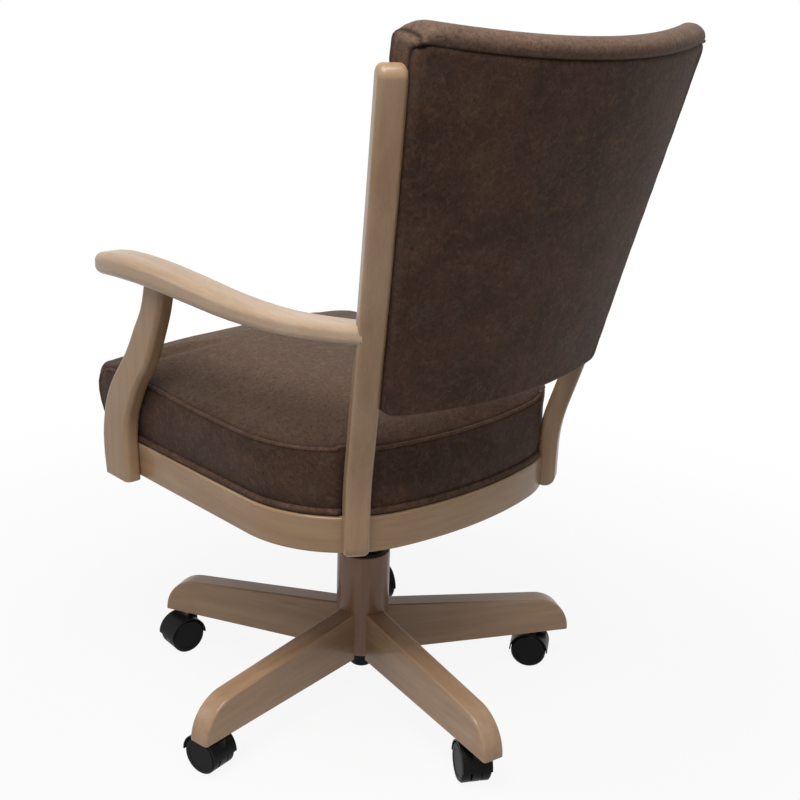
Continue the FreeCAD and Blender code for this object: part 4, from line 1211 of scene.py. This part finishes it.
class ARMCHAIR_OT_back(bpy.types.Operator):
    """Build the back pad with its rolled top, and its rear panel"""

    bl_idname = "armchair.back"
    bl_label = "Back"

    def execute(self, context):
        back = context.scene.armchair_back
        finish = context.scene.armchair_finish
        place = back_place(back)
        recess = -back.panel_thick
        # The back hide is a lighter copy (1.15) and paler over the roll's top as painted light from
        # above.
        crest = place(Vector((0.0, back.roll_top, 0.0))).z
        hide = leather("back_leather", finish, 1.15, (crest - 0.03, crest + 0.006), 0.3)
        mesh = upholstered(
            back_shell(back), 0.0045, 0.006, 6.0,
            lambda spot: spot.z > recess - 0.003 or spot.y > back.seam - 0.015, place,
            0.0015, 0.0019,
        )
        pad = mesh_piece("back_pad_cover", mesh, "seat", hide)
        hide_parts("back_cushion")
        # The rear panel is a darker copy of the same hide (0.85), partly painted shade on the rear.
        rear_hide = leather("rear_panel_leather", finish, 0.85)
        mesh = upholstered(
            panel_shell(back), 0.0045, 0.003, 2.0, lambda spot: spot.z < recess + 0.005, place,
            0.0012, 0.0019,
        )
        panel = mesh_piece("back_rear_panel", mesh, "seat", rear_hide)
        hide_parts("back_panel")
        return {"FINISHED"}


def lamp(name, power, wide, high, spot, aim):
    """A soft rectangular lamp."""
    light = bpy.data.lights.new(name, "AREA")
    light.shape = "RECTANGLE"
    light.size = wide
    light.size_y = high
    light.energy = power
    made = linked(name, light)
    made.location = spot
    made.rotation_euler = (Vector(aim) - Vector(spot)).to_track_quat("-Z", "Y").to_euler()


def seen_share(board):
    """One where the camera, a reflection or a clear material looks, otherwise nought."""
    camera = board.node("ShaderNodeLightPath", output="Is Camera Ray")
    glossy = board.node("ShaderNodeLightPath", output="Is Glossy Ray")
    through = board.node("ShaderNodeLightPath", output="Is Transmission Ray")
    return camera.most(glossy).most(through)


class ARMCHAIR_OT_studio(bpy.types.Operator):
    """Set up the floor, the lamps and the camera"""

    bl_idname = "armchair.studio"
    bl_label = "Studio"

    def execute(self, context):
        studio = context.scene.armchair_studio
        context.scene.view_settings.view_transform = "Standard"
        self.add_floor()
        self.add_sky(context, studio)
        self.add_camera(context, studio)
        lamp("top_lamp", studio.top_power, 1.6, 1.6, (0.95, 0.7, 2.75), (0.0, 0.0, 0.4))
        lamp("side_lamp", studio.side_power, 1.0, 1.2, (2.3, -1.9, 1.5), (0.0, 0.0, 0.5))
        lamp("fill_lamp", studio.fill_power, 0.6, 0.5, (0.6, 2.6, 1.5), (0.0, 0.0, 0.5))
        return {"FINISHED"}

    def add_floor(self):
        bm = bmesh.new()
        bmesh.ops.create_grid(bm, x_segments=2, y_segments=2, size=7.0)
        moved(bm, bm.verts[:], (0.0, 0.0, -0.0003))
        mesh = mesh_of(bm, "studio_floor")
        board = material("studio_floor")
        pale = board.node("ShaderNodeBsdfDiffuse", None, {"Color": (0.55, 0.55, 0.55, 1.0)})
        white = board.node("ShaderNodeEmission", None, {"Strength": 1.0})
        x, y, _ = board.split(board.place())
        far = ((x * x + y * y) ** 0.5).between(0.45, 1.5)
        share = seen_share(board) * (0.91 + far * 0.09)
        mixed = board.node("ShaderNodeMixShader", None, {0: share, 1: pale, 2: white})
        board.node("ShaderNodeOutputMaterial", None, {"Surface": mixed})
        mesh.materials.append(board.owner)
        linked("studio_floor", mesh)

    def add_sky(self, context, studio):
        world = bpy.data.worlds.new("studio")
        context.scene.world = world
        board = Board(world)
        share = seen_share(board)
        strength = share * (1.0 - studio.ambient) + studio.ambient
        sky = board.node(
            "ShaderNodeBackground", None, {"Color": (1.0, 1.0, 1.0, 1.0), "Strength": strength}
        )
        board.node("ShaderNodeOutputWorld", None, {"Surface": sky})

    def add_camera(self, context, studio):
        eye, aim = Vector(studio.eye), Vector(studio.aim)
        view = (aim - eye).normalized()
        level = view.cross(Vector((0.0, 0.0, 1.0))).normalized()
        upright = level.cross(view)
        cosine, sine = math.cos(studio.roll), math.sin(studio.roll)
        right = level * cosine + upright * sine
        up = upright * cosine - level * sine
        data = bpy.data.cameras.new("camera")
        data.sensor_width = 36.0
        data.lens = studio.lens
        camera = linked("camera", data)
        turn = Matrix((right, up, -view)).transposed().to_4x4()
        camera.matrix_world = Matrix.Translation(eye) @ turn
        context.scene.camera = camera


class ARMCHAIR_PT_sidebar(bpy.types.Panel):
    """The armchair's pieces and studio"""

    bl_idname = "ARMCHAIR_PT_sidebar"
    bl_label = "Armchair"
    bl_space_type = "VIEW_3D"
    bl_region_type = "UI"
    bl_category = "Armchair"

    def draw(self, context):
        for operator in OPERATORS:
            self.layout.operator(operator.bl_idname)
        for group in SETTINGS:
            box = self.layout.box()
            values = getattr(context.scene, group)
            for name in values.bl_rna.properties.keys():
                if name not in {"rna_type", "name"}:
                    box.prop(values, name)


SETTINGS = {
    "armchair_seat": ARMCHAIR_PG_seat,
    "armchair_back": ARMCHAIR_PG_back,
    "armchair_finish": ARMCHAIR_PG_finish,
    "armchair_studio": ARMCHAIR_PG_studio,
}
OPERATORS = (
    ARMCHAIR_OT_wood,
    ARMCHAIR_OT_fittings,
    ARMCHAIR_OT_buffer,
    ARMCHAIR_OT_seat_cushion,
    ARMCHAIR_OT_front_cover,
    ARMCHAIR_OT_back,
    ARMCHAIR_OT_studio,
)


def register():
    for name, group in SETTINGS.items():
        bpy.utils.register_class(group)
        setattr(bpy.types.Scene, name, bpy.props.PointerProperty(type=group))
    for part in OPERATORS + (ARMCHAIR_PT_sidebar,):
        bpy.utils.register_class(part)


def unregister():
    for part in (ARMCHAIR_PT_sidebar,) + OPERATORS[::-1]:
        bpy.utils.unregister_class(part)
    for name, group in SETTINGS.items():
        delattr(bpy.types.Scene, name)
        bpy.utils.unregister_class(group)


def main():
    register()
    bpy.ops.armchair.wood()
    bpy.ops.armchair.fittings()
    bpy.ops.armchair.buffer()
    bpy.ops.armchair.seat_cushion()
    bpy.ops.armchair.front_cover()
    bpy.ops.armchair.back()
    bpy.ops.armchair.studio()


if __name__ == "__main__":
    main()
